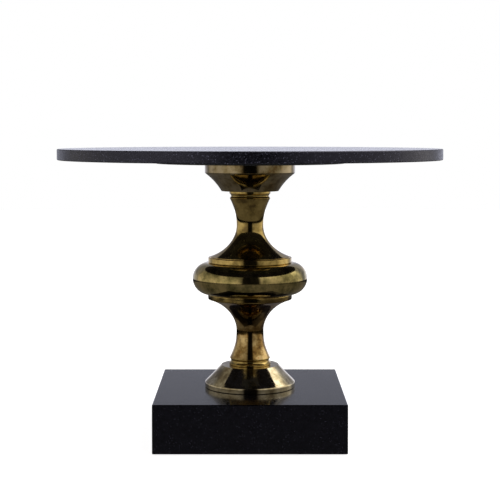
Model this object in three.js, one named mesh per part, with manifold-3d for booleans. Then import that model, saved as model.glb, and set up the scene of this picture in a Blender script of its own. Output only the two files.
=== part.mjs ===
// Round pedestal table: a polished granite disc on a turned, patinated brass column, which stands on a square
// granite plinth. Millimetres, +Z up. The origin is on the floor, under the middle of the table.
//
// The column is a stack of turned pieces. Each one is centred on the next by a spigot in a recess, and one long
// threaded rod clamps the whole stack between the steel plate under the top and a nut sunk into the plinth.

import * as THREE from "three";
import { mergeVertices } from "three/addons/utils/BufferGeometryUtils.js";
import Module from "manifold-3d";

// -------------------------------------------------------------------------------------------------
// Sizes of the stone
const TOP_RADIUS = 300;
const TOP_THICKNESS = 17;
const TOP_ARRIS = 1.2; // small chamfer that takes the sharpness off the edge
const PLINTH_SIDE = 289;
const PLINTH_HEIGHT = 73.5;
const PLINTH_ARRIS = 1;

// Sizes of the column, from the bottom up
const BASE_FLANGE_RADIUS = 71;
const BASE_FLANGE_HEIGHT = 34.75;
const BASE_FLANGE_BAND = 8; // height of the upright edge, with its rounded foot
const BASE_FLANGE_FOOT_ROUND = 1;
const BASE_FLANGE_SHOULDER = 4; // height of the bevel above the upright edge
const TOP_FLANGE_RADIUS = 71;
const TOP_FLANGE_HEIGHT = 43.25;
const TOP_FLANGE_BAND = 14.5;
const TOP_FLANGE_FOOT_ROUND = 0.5;
const TOP_FLANGE_SHOULDER = 2;
const FLANGE_NECK_RADIUS = 45; // small end of both flanges, where the hollow cove begins
const BASE_COVE_HOLLOW = 0.4; // how far the handle of the cove's curve lies off the middle of its chord
const TOP_COVE_HOLLOW = 2.5;
const COLLAR_HEIGHT = 12;
const COLLAR_RADIUS = 32.6; // of the bead beside the flange
const COLLAR_SLIM_RADIUS = 31.8; // of the bead beside the spindle
const COLLAR_BEAD = 3.5;
const COLLAR_SLIM_BEAD = 1.25;
const COLLAR_BEAD_ROUND = 0.8;
const COLLAR_CHANNEL_DEPTH = 2; // of the hollow channel between the beads
const SPINDLE_HEIGHT = 91.75;
const SPINDLE_NECK_RADIUS = 31.5;
const SPINDLE_WAIST_RADIUS = 21.3;
const SPINDLE_WAIST_HEIGHT = 42.8; // from the neck end
const SPINDLE_SKIRT_RADIUS = 62.3;
const SKIRT_EDGE = 0.8; // upright lip round the wide end
const SKIRT_HANDLE = { run: 0.725, rise: 0.21 }; // the skirt's curve leaves its wide end almost flat
const WAIST_HANDLE_TO_SKIRT = 0.69; // share of the skirt's rise at which the waist begins
const WAIST_HANDLE_TO_NECK = 0.34; // share of the neck's rise at which the waist ends
const NECK_HANDLE = { run: 0.9, rise: 0.44 }; // the curve comes to the neck flaring out
const BAND_HEIGHT = 9;
const BAND_RADIUS = 65.9;
const BAND_ROUND = 1.4;
const BULB_HEIGHT = 48.5;
const BULB_RADIUS = 90.2;
const BULB_END_RADIUS = 67; // flat end of the bulb, which the band covers
const BULB_WALL = 5;
const BULB_LIP_HEIGHT = 2; // lip on the lower half that centres the upper half
const BULB_LIP_WALL = 2.2;

// Sizes of the joints inside the column
const SPIGOT_FIT = 0.3; // radial clearance between a spigot and its recess
const SPIGOT_LENGTH = 4;
const RECESS_SPARE = 0.5; // a recess is this much deeper than its spigot
const NECK_SPIGOT_RADIUS = 20;
const SPIGOT_WALL = 4.5;
const BAND_SPIGOT_RADIUS = 40;
const BAND_BORE_RADIUS = 25;
const SPINDLE_BORE_RADIUS = 13;
const FLANGE_CORE_RADIUS = 26;
const FLANGE_WEB = 9; // metal left above the core, where the collar seats

// Sizes of the steel parts
const PLATE_RADIUS = 148;
const PLATE_THICKNESS = 6;
const PLATE_ARRIS = 0.6;
const HUB_RADIUS = 16;
const HUB_LENGTH = 24;
const HUB_WELD = 3; // leg of the weld between the hub and the plate
const ROD_RADIUS = 6;
const THREAD_FIT = 0.2; // radial gap left for the thread between the rod and what it screws into
const ROD_HOLE_FIT = 1.5; // radial clearance where the rod passes through a hole
const ROD_HUB_SPARE = 3; // the rod stops this far short of the plate
const ROD_END_CHAMFER = 1;
const ROD_PROUD_OF_NUT = 5;
const NUT_ACROSS_FLATS = 19;
const NUT_HEIGHT = 10;
const NUT_CORNER_CHAMFER = 1;
const SPRING_WASHER_RADIUS = 10.5;
const SPRING_WASHER_THICKNESS = 2.5;
const SPRING_WASHER_SPLIT = 1.5;
const WASHER_RADIUS = 18.5;
const WASHER_THICKNESS = 3;
const WASHER_HOLE_FIT = 0.5;
const NUT_POCKET_RADIUS = 23;
const NUT_POCKET_DEPTH = 30;
const SCREW_COUNT = 4;
const SCREW_CIRCLE_RADIUS = 118;
const SCREW_RADIUS = 3;
const SCREW_LENGTH = 14;
const SCREW_HEAD_RADIUS = 6;
const SCREW_HEAD_LAND = 0.3; // short upright edge round the countersunk head
const SCREW_POINT_CHAMFER = 0.5;
const SCREW_KEY_ACROSS_FLATS = 4;
const SCREW_KEY_DEPTH = 2;
const SCREW_HOLE_FIT = 0.4;
const INSERT_RADIUS = 5;
const INSERT_LENGTH = 11;
const INSERT_BOND = 0.3; // bonding resin round and above each insert
const SCREW_THREAD_FIT = 0.3;

// Sizes of the feet
const FOOT_RADIUS = 20;
const FOOT_HEIGHT = 1.5;
const FOOT_INSET = 30; // from the plinth's edge to the middle of a foot
const FOOT_ROUND = 0.4;

const TOOL_SPARE = 1; // how far a cutting tool runs past the face that it cuts

// Facets round a full turn, and steps along a curve of an outline
const TOP_FACETS = 64;
const COLUMN_FACETS = 28;
const HARDWARE_FACETS = 16;
const CURVE_STEPS = 3;
const BEAD_STEPS = 2;
const COLLAR_STEPS = 4;
const SPINDLE_STEPS = 6;

// Points nearer than this are one point
const POINT_MERGE = 1e-3;
const SOLID_MERGE = 1e-4;

// -------------------------------------------------------------------------------------------------
// Finishes
const granite = { color: 0x15161c, roughness: 0.16, metalness: 0 };
const agedBrass = { color: 0x8f7a45, roughness: 0.24, metalness: 1 };
const blackSteel = { color: 0x121315, roughness: 0.5, metalness: 0.2 };
const zincSteel = { color: 0x9ea2a4, roughness: 0.35, metalness: 1 };
const insertBrass = { color: 0xb89a55, roughness: 0.35, metalness: 1 };
const rubber = { color: 0x1b1b1d, roughness: 0.85, metalness: 0 };

// -------------------------------------------------------------------------------------------------
// Levels. Every height in the stack is held on a grid of 1/64 mm, which 32-bit numbers store exactly, so two
// faces that rest on each other have the very same height.
const onGrid = (height) => Math.round(height * 64) / 64;

function stackUp(firstLevel, heights) {
  const levels = {};
  let level = firstLevel;
  for (const [piece, height] of Object.entries(heights)) {
    levels[piece] = level;
    level += height;
  }
  return levels;
}

const height = {
  foot: onGrid(FOOT_HEIGHT),
  plinth: onGrid(PLINTH_HEIGHT),
  baseFlange: onGrid(BASE_FLANGE_HEIGHT),
  lowerCollar: onGrid(COLLAR_HEIGHT),
  lowerSpindle: onGrid(SPINDLE_HEIGHT),
  lowerBand: onGrid(BAND_HEIGHT),
  bulbLower: onGrid(BULB_HEIGHT / 2),
  bulbUpper: onGrid(BULB_HEIGHT / 2),
  upperBand: onGrid(BAND_HEIGHT),
  upperSpindle: onGrid(SPINDLE_HEIGHT),
  upperCollar: onGrid(COLLAR_HEIGHT),
  topFlange: onGrid(TOP_FLANGE_HEIGHT),
  plate: onGrid(PLATE_THICKNESS),
  top: onGrid(TOP_THICKNESS),
};
const level = stackUp(0, height);

const nutPocketCeiling = level.plinth + onGrid(NUT_POCKET_DEPTH);
const washerLevel = nutPocketCeiling - onGrid(WASHER_THICKNESS);
const springWasherLevel = washerLevel - onGrid(SPRING_WASHER_THICKNESS);
const nutLevel = springWasherLevel - onGrid(NUT_HEIGHT);
const rodBottom = nutLevel - ROD_PROUD_OF_NUT;
const rodTop = level.plate - ROD_HUB_SPARE;

// -------------------------------------------------------------------------------------------------
// Solids

/** A closed outline in the (radius, height) half-plane, turned round the Z axis. Drops repeated points. */
function turned(outline, facets, curveSteps = CURVE_STEPS) {
  const points = outline.getPoints(curveSteps);
  const kept = points.filter((point, i) => i === 0 || point.distanceTo(points[i - 1]) > POINT_MERGE);
  if (kept[0].x > 0) kept[kept.length - 1] = kept[0].clone();
  return new THREE.LatheGeometry(kept, facets).rotateX(Math.PI / 2);
}

/** A piece turned over, so that what was its underside is its top. */
const upsideDown = (geometry, tall) => geometry.rotateX(Math.PI).translate(0, 0, tall);

/** A closed outline of straight lines, from [radius, height] pairs that run anticlockwise. */
function outlineOf(corners) {
  const outline = new THREE.Path();
  outline.moveTo(...corners[0]);
  for (const corner of corners.slice(1)) outline.lineTo(...corner);
  if (corners[0][0] > 0) outline.lineTo(...corners[0]);
  return outline;
}

/** A straight prism with a regular outline, flat side to flat side acrossFlats, from z = 0 to length. */
function prism(sides, acrossFlats, length) {
  const cornerRadius = acrossFlats / 2 / Math.cos(Math.PI / sides);
  return new THREE.CylinderGeometry(cornerRadius, cornerRadius, length, sides)
    .rotateX(Math.PI / 2)
    .translate(0, 0, length / 2);
}

const wasm = await Module();
wasm.setup();

function toSolid(geometry) {
  const bare = geometry.clone();
  bare.deleteAttribute("normal");
  bare.deleteAttribute("uv");
  const merged = mergeVertices(bare, SOLID_MERGE);
  return new wasm.Manifold(
    new wasm.Mesh({
      numProp: 3,
      vertProperties: merged.attributes.position.array,
      triVerts: new Uint32Array(merged.index.array),
    }),
  );
}

function toGeometry(solid) {
  const mesh = solid.getMesh();
  const geometry = new THREE.BufferGeometry();
  geometry.setAttribute("position", new THREE.BufferAttribute(new Float32Array(mesh.vertProperties), 3));
  geometry.setIndex(new THREE.BufferAttribute(new Uint32Array(mesh.triVerts), 1));
  const faceted = geometry.toNonIndexed();
  faceted.computeVertexNormals();
  return faceted;
}

/** A solid with others cut out of it. */
function cut(geometry, tools) {
  let solid = toSolid(geometry);
  for (const tool of tools) solid = solid.subtract(toSolid(tool));
  return toGeometry(solid);
}

// -------------------------------------------------------------------------------------------------
// Assembly
const table = new THREE.Group();
table.name = "round_pedestal_table";

function addPiece(name, geometry, finish, z, x = 0, y = 0) {
  const piece = new THREE.Mesh(geometry, new THREE.MeshStandardMaterial(finish));
  piece.name = name;
  piece.position.set(x, y, z);
  table.add(piece);
}

/** The places of the plate screws, evenly round the plate. */
const screwPlaces = Array.from({ length: SCREW_COUNT }, (_, i) => {
  const turn = ((i + 0.5) / SCREW_COUNT) * 2 * Math.PI;
  return [SCREW_CIRCLE_RADIUS * Math.cos(turn), SCREW_CIRCLE_RADIUS * Math.sin(turn)];
});

/**
 * Turned tools for cutting, one at each screw place, from [radius, height] pairs that start and end
 * on the axis.
 */
function screwHoles(corners) {
  return screwPlaces.map(([x, y]) => turned(outlineOf(corners), HARDWARE_FACETS).translate(x, y, 0));
}

// ---- Stone --------------------------------------------------------------------------------------

function topGeometry() {
  const inner = TOP_RADIUS - TOP_ARRIS;
  const upper = height.top - TOP_ARRIS;
  const disc = turned(
    outlineOf([
      [0, 0],
      [inner, 0],
      [TOP_RADIUS, TOP_ARRIS],
      [TOP_RADIUS, upper],
      [inner, height.top],
      [0, height.top],
    ]),
    TOP_FACETS,
  );
  const holeRadius = INSERT_RADIUS + INSERT_BOND;
  const holeDepth = INSERT_LENGTH + INSERT_BOND;
  const hole = [[0, -TOOL_SPARE], [holeRadius, -TOOL_SPARE], [holeRadius, holeDepth], [0, holeDepth]];
  return cut(disc, screwHoles(hole));
}

function plinthGeometry() {
  const half = PLINTH_SIDE / 2 - PLINTH_ARRIS;
  const corner = half - PLINTH_ARRIS;
  const outline = new THREE.Shape();
  outline.moveTo(half, -corner);
  outline.lineTo(half, corner);
  outline.lineTo(corner, half);
  outline.lineTo(-corner, half);
  outline.lineTo(-half, corner);
  outline.lineTo(-half, -corner);
  outline.lineTo(-corner, -half);
  outline.lineTo(corner, -half);
  outline.closePath();
  const block = new THREE.ExtrudeGeometry(outline, {
    depth: height.plinth - 2 * PLINTH_ARRIS,
    bevelThickness: PLINTH_ARRIS,
    bevelSize: PLINTH_ARRIS,
    bevelSegments: 1,
  }).translate(0, 0, PLINTH_ARRIS);
  const holeRadius = ROD_RADIUS + ROD_HOLE_FIT;
  const pocketDepth = onGrid(NUT_POCKET_DEPTH);
  const bore = turned(
    outlineOf([
      [0, -TOOL_SPARE],
      [NUT_POCKET_RADIUS, -TOOL_SPARE],
      [NUT_POCKET_RADIUS, pocketDepth],
      [holeRadius, pocketDepth],
      [holeRadius, height.plinth + TOOL_SPARE],
      [0, height.plinth + TOOL_SPARE],
    ]),
    COLUMN_FACETS,
  );
  return cut(block, [bore]);
}

addPiece("base_plinth", plinthGeometry(), granite, level.plinth);
addPiece("table_top", topGeometry(), granite, level.top);

// ---- Flanges ------------------------------------------------------------------------------------

/**
 * A cored flange with its wide seat at z = 0 and its neck at z = tall: upright band, bevelled shoulder, hollow
 * cove, and a recess in the neck for the collar's spigot.
 */
function flangeGeometry({ tall, radius, band, shoulder, footRound, coveHollow }) {
  const recess = NECK_SPIGOT_RADIUS + SPIGOT_FIT;
  const coveEdge = radius - shoulder;
  const coveBottom = band + shoulder;
  const outline = new THREE.Path();
  outline.moveTo(FLANGE_CORE_RADIUS, 0);
  outline.lineTo(radius - footRound, 0);
  outline.quadraticCurveTo(radius, 0, radius, footRound);
  outline.lineTo(radius, band);
  outline.lineTo(coveEdge, coveBottom);
  const handleRadius = (coveEdge + FLANGE_NECK_RADIUS) / 2 - coveHollow;
  const handleHeight = (coveBottom + tall) / 2 - coveHollow;
  outline.quadraticCurveTo(handleRadius, handleHeight, FLANGE_NECK_RADIUS, tall);
  outline.lineTo(recess, tall);
  outline.lineTo(recess, tall - SPIGOT_LENGTH - RECESS_SPARE);
  outline.lineTo(SPINDLE_BORE_RADIUS, tall - SPIGOT_LENGTH - RECESS_SPARE);
  outline.lineTo(SPINDLE_BORE_RADIUS, tall - FLANGE_WEB);
  outline.lineTo(FLANGE_CORE_RADIUS, tall - FLANGE_WEB);
  outline.lineTo(FLANGE_CORE_RADIUS, 0);
  return turned(outline, COLUMN_FACETS);
}

const baseFlange = flangeGeometry({
  tall: height.baseFlange,
  radius: BASE_FLANGE_RADIUS,
  band: BASE_FLANGE_BAND,
  shoulder: BASE_FLANGE_SHOULDER,
  footRound: BASE_FLANGE_FOOT_ROUND,
  coveHollow: BASE_COVE_HOLLOW,
});
const topFlange = flangeGeometry({
  tall: height.topFlange,
  radius: TOP_FLANGE_RADIUS,
  band: TOP_FLANGE_BAND,
  shoulder: TOP_FLANGE_SHOULDER,
  footRound: TOP_FLANGE_FOOT_ROUND,
  coveHollow: TOP_COVE_HOLLOW,
});

addPiece("base_flange", baseFlange, agedBrass, level.baseFlange);
addPiece("top_flange", upsideDown(topFlange, height.topFlange), agedBrass, level.topFlange);

// ---- Collars ------------------------------------------------------------------------------------

/**
 * A collar with its flange end at z = 0: a rounded bead beside the flange, a slimmer one beside the spindle, a
 * hollow channel between them, and a spigot at each end.
 */
function collarGeometry() {
  const tall = height.lowerCollar;
  const bore = NECK_SPIGOT_RADIUS - SPIGOT_WALL;
  const round = COLLAR_BEAD_ROUND;
  const slimFoot = tall - COLLAR_SLIM_BEAD;
  const channelRadius = COLLAR_SLIM_RADIUS - COLLAR_CHANNEL_DEPTH * 2;
  const outline = new THREE.Path();
  outline.moveTo(bore, -SPIGOT_LENGTH);
  outline.lineTo(NECK_SPIGOT_RADIUS, -SPIGOT_LENGTH);
  outline.lineTo(NECK_SPIGOT_RADIUS, 0);
  outline.lineTo(COLLAR_RADIUS - round, 0);
  outline.quadraticCurveTo(COLLAR_RADIUS, 0, COLLAR_RADIUS, round);
  outline.lineTo(COLLAR_RADIUS, COLLAR_BEAD);
  outline.quadraticCurveTo(channelRadius, (COLLAR_BEAD + slimFoot) / 2, COLLAR_SLIM_RADIUS, slimFoot);
  outline.lineTo(COLLAR_SLIM_RADIUS, tall - round);
  outline.quadraticCurveTo(COLLAR_SLIM_RADIUS, tall, COLLAR_SLIM_RADIUS - round, tall);
  outline.lineTo(NECK_SPIGOT_RADIUS, tall);
  outline.lineTo(NECK_SPIGOT_RADIUS, tall + SPIGOT_LENGTH);
  outline.lineTo(bore, tall + SPIGOT_LENGTH);
  outline.lineTo(bore, -SPIGOT_LENGTH);
  return turned(outline, COLUMN_FACETS, COLLAR_STEPS);
}

addPiece("lower_collar", collarGeometry(), agedBrass, level.lowerCollar);
addPiece("upper_collar", upsideDown(collarGeometry(), height.upperCollar), agedBrass, level.upperCollar);

// ---- Spindles -----------------------------------------------------------------------------------

/** A spindle with its wide skirt at z = 0 and its neck at the top, a recess in each end and a bore between. */
function spindleGeometry() {
  const tall = height.upperSpindle;
  const waist = tall - SPINDLE_WAIST_HEIGHT;
  const neckRecess = NECK_SPIGOT_RADIUS + SPIGOT_FIT;
  const skirtRecess = BAND_SPIGOT_RADIUS + SPIGOT_FIT;
  const recessDepth = SPIGOT_LENGTH + RECESS_SPARE;
  const skirtRun = SPINDLE_SKIRT_RADIUS - SPINDLE_WAIST_RADIUS;
  const neckRun = SPINDLE_NECK_RADIUS - SPINDLE_WAIST_RADIUS;
  const outline = new THREE.Path();
  outline.moveTo(skirtRecess, 0);
  outline.lineTo(SPINDLE_SKIRT_RADIUS, 0);
  outline.lineTo(SPINDLE_SKIRT_RADIUS, SKIRT_EDGE);
  outline.bezierCurveTo(
    ...[SPINDLE_SKIRT_RADIUS - SKIRT_HANDLE.run * skirtRun, SKIRT_EDGE + SKIRT_HANDLE.rise * waist],
    ...[SPINDLE_WAIST_RADIUS, WAIST_HANDLE_TO_SKIRT * waist],
    ...[SPINDLE_WAIST_RADIUS, waist],
  );
  outline.bezierCurveTo(
    ...[SPINDLE_WAIST_RADIUS, waist + WAIST_HANDLE_TO_NECK * SPINDLE_WAIST_HEIGHT],
    ...[SPINDLE_NECK_RADIUS - NECK_HANDLE.run * neckRun, tall - NECK_HANDLE.rise * SPINDLE_WAIST_HEIGHT],
    ...[SPINDLE_NECK_RADIUS, tall],
  );
  outline.lineTo(neckRecess, tall);
  outline.lineTo(neckRecess, tall - recessDepth);
  outline.lineTo(SPINDLE_BORE_RADIUS, tall - recessDepth);
  outline.lineTo(SPINDLE_BORE_RADIUS, recessDepth);
  outline.lineTo(skirtRecess, recessDepth);
  outline.lineTo(skirtRecess, 0);
  return turned(outline, COLUMN_FACETS, SPINDLE_STEPS);
}

addPiece("lower_spindle", upsideDown(spindleGeometry(), height.lowerSpindle), agedBrass, level.lowerSpindle);
addPiece("upper_spindle", spindleGeometry(), agedBrass, level.upperSpindle);

// ---- Bands --------------------------------------------------------------------------------------

/** A flat band with rounded edges, a bore, and a spigot ring on both faces. */
function bandGeometry() {
  const tall = height.lowerBand;
  const edge = BAND_RADIUS - BAND_ROUND;
  const spigotInside = BAND_SPIGOT_RADIUS - SPIGOT_WALL;
  const outline = new THREE.Path();
  outline.moveTo(BAND_BORE_RADIUS, 0);
  outline.lineTo(spigotInside, 0);
  outline.lineTo(spigotInside, -SPIGOT_LENGTH);
  outline.lineTo(BAND_SPIGOT_RADIUS, -SPIGOT_LENGTH);
  outline.lineTo(BAND_SPIGOT_RADIUS, 0);
  outline.lineTo(edge, 0);
  outline.quadraticCurveTo(BAND_RADIUS, 0, BAND_RADIUS, BAND_ROUND);
  outline.lineTo(BAND_RADIUS, tall - BAND_ROUND);
  outline.quadraticCurveTo(BAND_RADIUS, tall, edge, tall);
  outline.lineTo(BAND_SPIGOT_RADIUS, tall);
  outline.lineTo(BAND_SPIGOT_RADIUS, tall + SPIGOT_LENGTH);
  outline.lineTo(spigotInside, tall + SPIGOT_LENGTH);
  outline.lineTo(spigotInside, tall);
  outline.lineTo(BAND_BORE_RADIUS, tall);
  outline.lineTo(BAND_BORE_RADIUS, 0);
  return turned(outline, COLUMN_FACETS, BEAD_STEPS);
}

addPiece("lower_band", bandGeometry(), agedBrass, level.lowerBand);
addPiece("upper_band", bandGeometry(), agedBrass, level.upperBand);

// ---- Bulb ---------------------------------------------------------------------------------------

/**
 * One hollow half of the bulb, with its flat end at z = 0 and its open rim at the top. lipped gives the rim a
 * lip that stands up inside the other half; without it the rim has the rebate that takes the lip.
 */
function bulbHalfGeometry(lipped) {
  const tall = height.bulbLower;
  const bulge = BULB_RADIUS - BULB_END_RADIUS;
  const endHole = BAND_SPIGOT_RADIUS + SPIGOT_FIT;
  const rimInside = BULB_RADIUS - BULB_WALL;
  const lipRadius = rimInside + BULB_LIP_WALL;
  const outline = new THREE.Path();
  outline.moveTo(endHole, 0);
  outline.lineTo(BULB_END_RADIUS, 0);
  outline.absellipse(BULB_END_RADIUS, tall, bulge, tall, -Math.PI / 2, 0, false, 0);
  if (lipped) {
    outline.lineTo(lipRadius, tall);
    outline.lineTo(lipRadius, tall + BULB_LIP_HEIGHT);
    outline.lineTo(rimInside, tall + BULB_LIP_HEIGHT);
    outline.lineTo(rimInside, tall);
  } else {
    outline.lineTo(lipRadius + SPIGOT_FIT, tall);
    outline.lineTo(lipRadius + SPIGOT_FIT, tall - BULB_LIP_HEIGHT - RECESS_SPARE);
    outline.lineTo(rimInside, tall - BULB_LIP_HEIGHT - RECESS_SPARE);
  }
  const innerBulge = bulge - BULB_WALL;
  const innerTall = tall - BULB_WALL;
  const start = lipped ? 0 : -Math.asin((BULB_LIP_HEIGHT + RECESS_SPARE) / innerTall);
  outline.absellipse(BULB_END_RADIUS, tall, innerBulge, innerTall, start, -Math.PI / 2, true, 0);
  outline.lineTo(endHole, BULB_WALL);
  outline.lineTo(endHole, 0);
  return turned(outline, COLUMN_FACETS);
}

addPiece("bulb_lower_half", bulbHalfGeometry(true), agedBrass, level.bulbLower);
addPiece("bulb_upper_half", upsideDown(bulbHalfGeometry(false), height.bulbUpper), agedBrass, level.bulbUpper);

// ---- Steel plate, hub and rod -------------------------------------------------------------------

function plateGeometry() {
  const inner = PLATE_RADIUS - PLATE_ARRIS;
  const disc = turned(
    outlineOf([
      [0, 0],
      [inner, 0],
      [PLATE_RADIUS, PLATE_ARRIS],
      [PLATE_RADIUS, height.plate - PLATE_ARRIS],
      [inner, height.plate],
      [0, height.plate],
    ]),
    TOP_FACETS,
  );
  const holeRadius = SCREW_RADIUS + SCREW_HOLE_FIT;
  const sinkDepth = SCREW_HEAD_LAND + SCREW_HEAD_RADIUS - holeRadius;
  return cut(
    disc,
    screwHoles([
      [0, -TOOL_SPARE],
      [SCREW_HEAD_RADIUS, -TOOL_SPARE],
      [SCREW_HEAD_RADIUS, SCREW_HEAD_LAND],
      [holeRadius, sinkDepth],
      [holeRadius, height.plate + TOOL_SPARE],
      [0, height.plate + TOOL_SPARE],
    ]),
  );
}

/** The threaded hub, with its weld to the plate, from z = 0 up to the plate. */
function hubGeometry() {
  const bore = ROD_RADIUS + THREAD_FIT;
  const length = onGrid(HUB_LENGTH);
  return turned(
    outlineOf([
      [bore, 0],
      [HUB_RADIUS, 0],
      [HUB_RADIUS, length - HUB_WELD],
      [HUB_RADIUS + HUB_WELD, length],
      [bore, length],
    ]),
    HARDWARE_FACETS,
  );
}

function rodGeometry() {
  const length = rodTop - rodBottom;
  const tip = ROD_RADIUS - ROD_END_CHAMFER;
  return turned(
    outlineOf([
      [0, 0],
      [tip, 0],
      [ROD_RADIUS, ROD_END_CHAMFER],
      [ROD_RADIUS, length - ROD_END_CHAMFER],
      [tip, length],
      [0, length],
    ]),
    HARDWARE_FACETS,
  );
}

addPiece("support_plate", plateGeometry(), blackSteel, level.plate);
addPiece("rod_hub", hubGeometry(), blackSteel, level.plate - onGrid(HUB_LENGTH));
addPiece("tie_rod", rodGeometry(), zincSteel, rodBottom);

// ---- Nut and washers in the plinth --------------------------------------------------------------

/** A plain ring, from z = 0. */
function ringGeometry(inside, outside, tall) {
  return turned(outlineOf([[inside, 0], [outside, 0], [outside, tall], [inside, tall]]), HARDWARE_FACETS);
}

function springWasherGeometry() {
  const tall = onGrid(SPRING_WASHER_THICKNESS);
  const ring = ringGeometry(ROD_RADIUS + WASHER_HOLE_FIT, SPRING_WASHER_RADIUS, tall);
  const split = new THREE.BoxGeometry(SPRING_WASHER_RADIUS * 2, SPRING_WASHER_SPLIT, tall * 3);
  return cut(ring, [split.translate(SPRING_WASHER_RADIUS, 0, tall / 2)]);
}

/** A hexagon nut with both ends chamfered at the corners. */
function nutGeometry() {
  const tall = onGrid(NUT_HEIGHT);
  const cornerRadius = NUT_ACROSS_FLATS / 2 / Math.cos(Math.PI / 6);
  const faceRadius = cornerRadius - NUT_CORNER_CHAMFER;
  const rise = NUT_CORNER_CHAMFER / 2;
  const bore = ROD_RADIUS + THREAD_FIT;
  const chamfered = turned(
    outlineOf([
      [bore, 0],
      [faceRadius, 0],
      [cornerRadius, rise],
      [cornerRadius, tall - rise],
      [faceRadius, tall],
      [bore, tall],
    ]),
    HARDWARE_FACETS,
  );
  const hexagon = prism(6, NUT_ACROSS_FLATS, tall);
  return toGeometry(toSolid(hexagon).intersect(toSolid(chamfered)));
}

const washerHole = ROD_RADIUS + WASHER_HOLE_FIT;
const washer = ringGeometry(washerHole, WASHER_RADIUS, onGrid(WASHER_THICKNESS));
addPiece("rod_washer", washer, zincSteel, washerLevel);
addPiece("spring_washer", springWasherGeometry(), zincSteel, springWasherLevel);
addPiece("rod_nut", nutGeometry(), zincSteel, nutLevel);

// ---- Plate screws and their inserts -------------------------------------------------------------

/** A countersunk socket screw, head downwards, with the flat of its head at z = 0. Its cone is at 45 degrees. */
function screwGeometry() {
  const point = SCREW_RADIUS - SCREW_POINT_CHAMFER;
  const blank = turned(
    outlineOf([
      [0, 0],
      [SCREW_HEAD_RADIUS, 0],
      [SCREW_HEAD_RADIUS, SCREW_HEAD_LAND],
      [SCREW_RADIUS, SCREW_HEAD_LAND + SCREW_HEAD_RADIUS - SCREW_RADIUS],
      [SCREW_RADIUS, SCREW_LENGTH - SCREW_POINT_CHAMFER],
      [point, SCREW_LENGTH],
      [0, SCREW_LENGTH],
    ]),
    HARDWARE_FACETS,
  );
  const key = prism(6, SCREW_KEY_ACROSS_FLATS, SCREW_KEY_DEPTH + TOOL_SPARE);
  return cut(blank, [key.translate(0, 0, -TOOL_SPARE)]);
}

const insertBore = SCREW_RADIUS + SCREW_THREAD_FIT;
screwPlaces.forEach(([x, y], i) => {
  const insert = ringGeometry(insertBore, INSERT_RADIUS, INSERT_LENGTH);
  addPiece(`plate_screw_${i + 1}`, screwGeometry(), zincSteel, level.plate, x, y);
  addPiece(`screw_insert_${i + 1}`, insert, insertBrass, level.top, x, y);
});

// ---- Feet ---------------------------------------------------------------------------------------

function footGeometry() {
  const edge = FOOT_RADIUS - FOOT_ROUND;
  return turned(
    outlineOf([[0, 0], [edge, 0], [FOOT_RADIUS, FOOT_ROUND], [FOOT_RADIUS, height.foot], [0, height.foot]]),
    HARDWARE_FACETS,
  );
}

const footOffset = PLINTH_SIDE / 2 - FOOT_INSET;
[[-1, -1], [1, -1], [1, 1], [-1, 1]].forEach(([sideX, sideY], i) => {
  addPiece(`foot_pad_${i + 1}`, footGeometry(), rubber, level.foot, sideX * footOffset, sideY * footOffset);
});

export default table;
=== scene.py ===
"""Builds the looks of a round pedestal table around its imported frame.

A polished granite disc lies on a black steel plate. A turned and patinated brass column carries the plate
and stands on a square granite plinth. Every turned piece is a surface of revolution: a closed outline in
the plane of radius and height is swept round the Z axis. The plinth is a loft of rounded squares and
circles. Outlines are written in millimetres. The meshes are in metres in the frame of the CAD model, so
each piece lies where its CAD node lies.
"""

import logging
import math
from dataclasses import dataclass
from enum import Enum
from typing import Any

import bmesh
import bpy
import numpy as np
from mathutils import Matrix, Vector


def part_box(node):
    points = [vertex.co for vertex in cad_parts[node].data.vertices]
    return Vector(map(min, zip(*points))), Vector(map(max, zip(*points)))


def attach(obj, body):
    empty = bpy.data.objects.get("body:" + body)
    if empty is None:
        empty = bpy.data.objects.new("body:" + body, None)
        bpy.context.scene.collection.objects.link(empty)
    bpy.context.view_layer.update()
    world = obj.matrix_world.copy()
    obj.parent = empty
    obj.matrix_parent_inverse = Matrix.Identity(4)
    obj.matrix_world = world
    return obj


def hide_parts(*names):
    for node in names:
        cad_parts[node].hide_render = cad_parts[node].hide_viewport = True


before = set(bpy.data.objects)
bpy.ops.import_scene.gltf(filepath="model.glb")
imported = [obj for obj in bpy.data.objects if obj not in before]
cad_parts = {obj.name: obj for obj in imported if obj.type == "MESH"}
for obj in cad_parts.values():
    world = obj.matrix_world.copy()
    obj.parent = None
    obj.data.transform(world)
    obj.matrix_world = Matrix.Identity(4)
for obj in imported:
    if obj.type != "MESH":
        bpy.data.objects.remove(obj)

LOG = logging.getLogger("round_pedestal_table")
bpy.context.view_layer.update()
MM = 0.001
FULL_TURN = 2 * math.pi
SHARP_ANGLE = math.radians(35)  # a steeper fold than this is shown as an edge
HOLD = 0.3  # mm from a rounding to the point that keeps the flat beside it flat
HOLD_SHARE = 0.3  # the most of the flat's length that this may take
MERGE_DISTANCE = 1e-7  # metres
ROUND_STEPS = 5
ROOT_SHARE = 1 / 8  # of a thread's pitch
FLANK_SHARE = 1 / 4
STONE_SEGMENTS = 256
COLUMN_SEGMENTS = 160
HARDWARE_SEGMENTS = 48


# --------------------------------------------------------------------------------------------------
# Nodes and colours


def linear(hex_colour: str) -> tuple[float, float, float, float]:
    """Turns an sRGB hex colour into linear light.

    Args:
        hex_colour: Six hex digits.

    Returns:
        Linear red, green and blue, and an alpha of 1.
    """
    channels = []
    for start in (0, 2, 4):
        share = int(hex_colour[start : start + 2], 16) / 255
        channels.append(share / 12.92 if share <= 0.04045 else ((share + 0.055) / 1.055) ** 2.4)
    return (*channels, 1.0)


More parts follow.
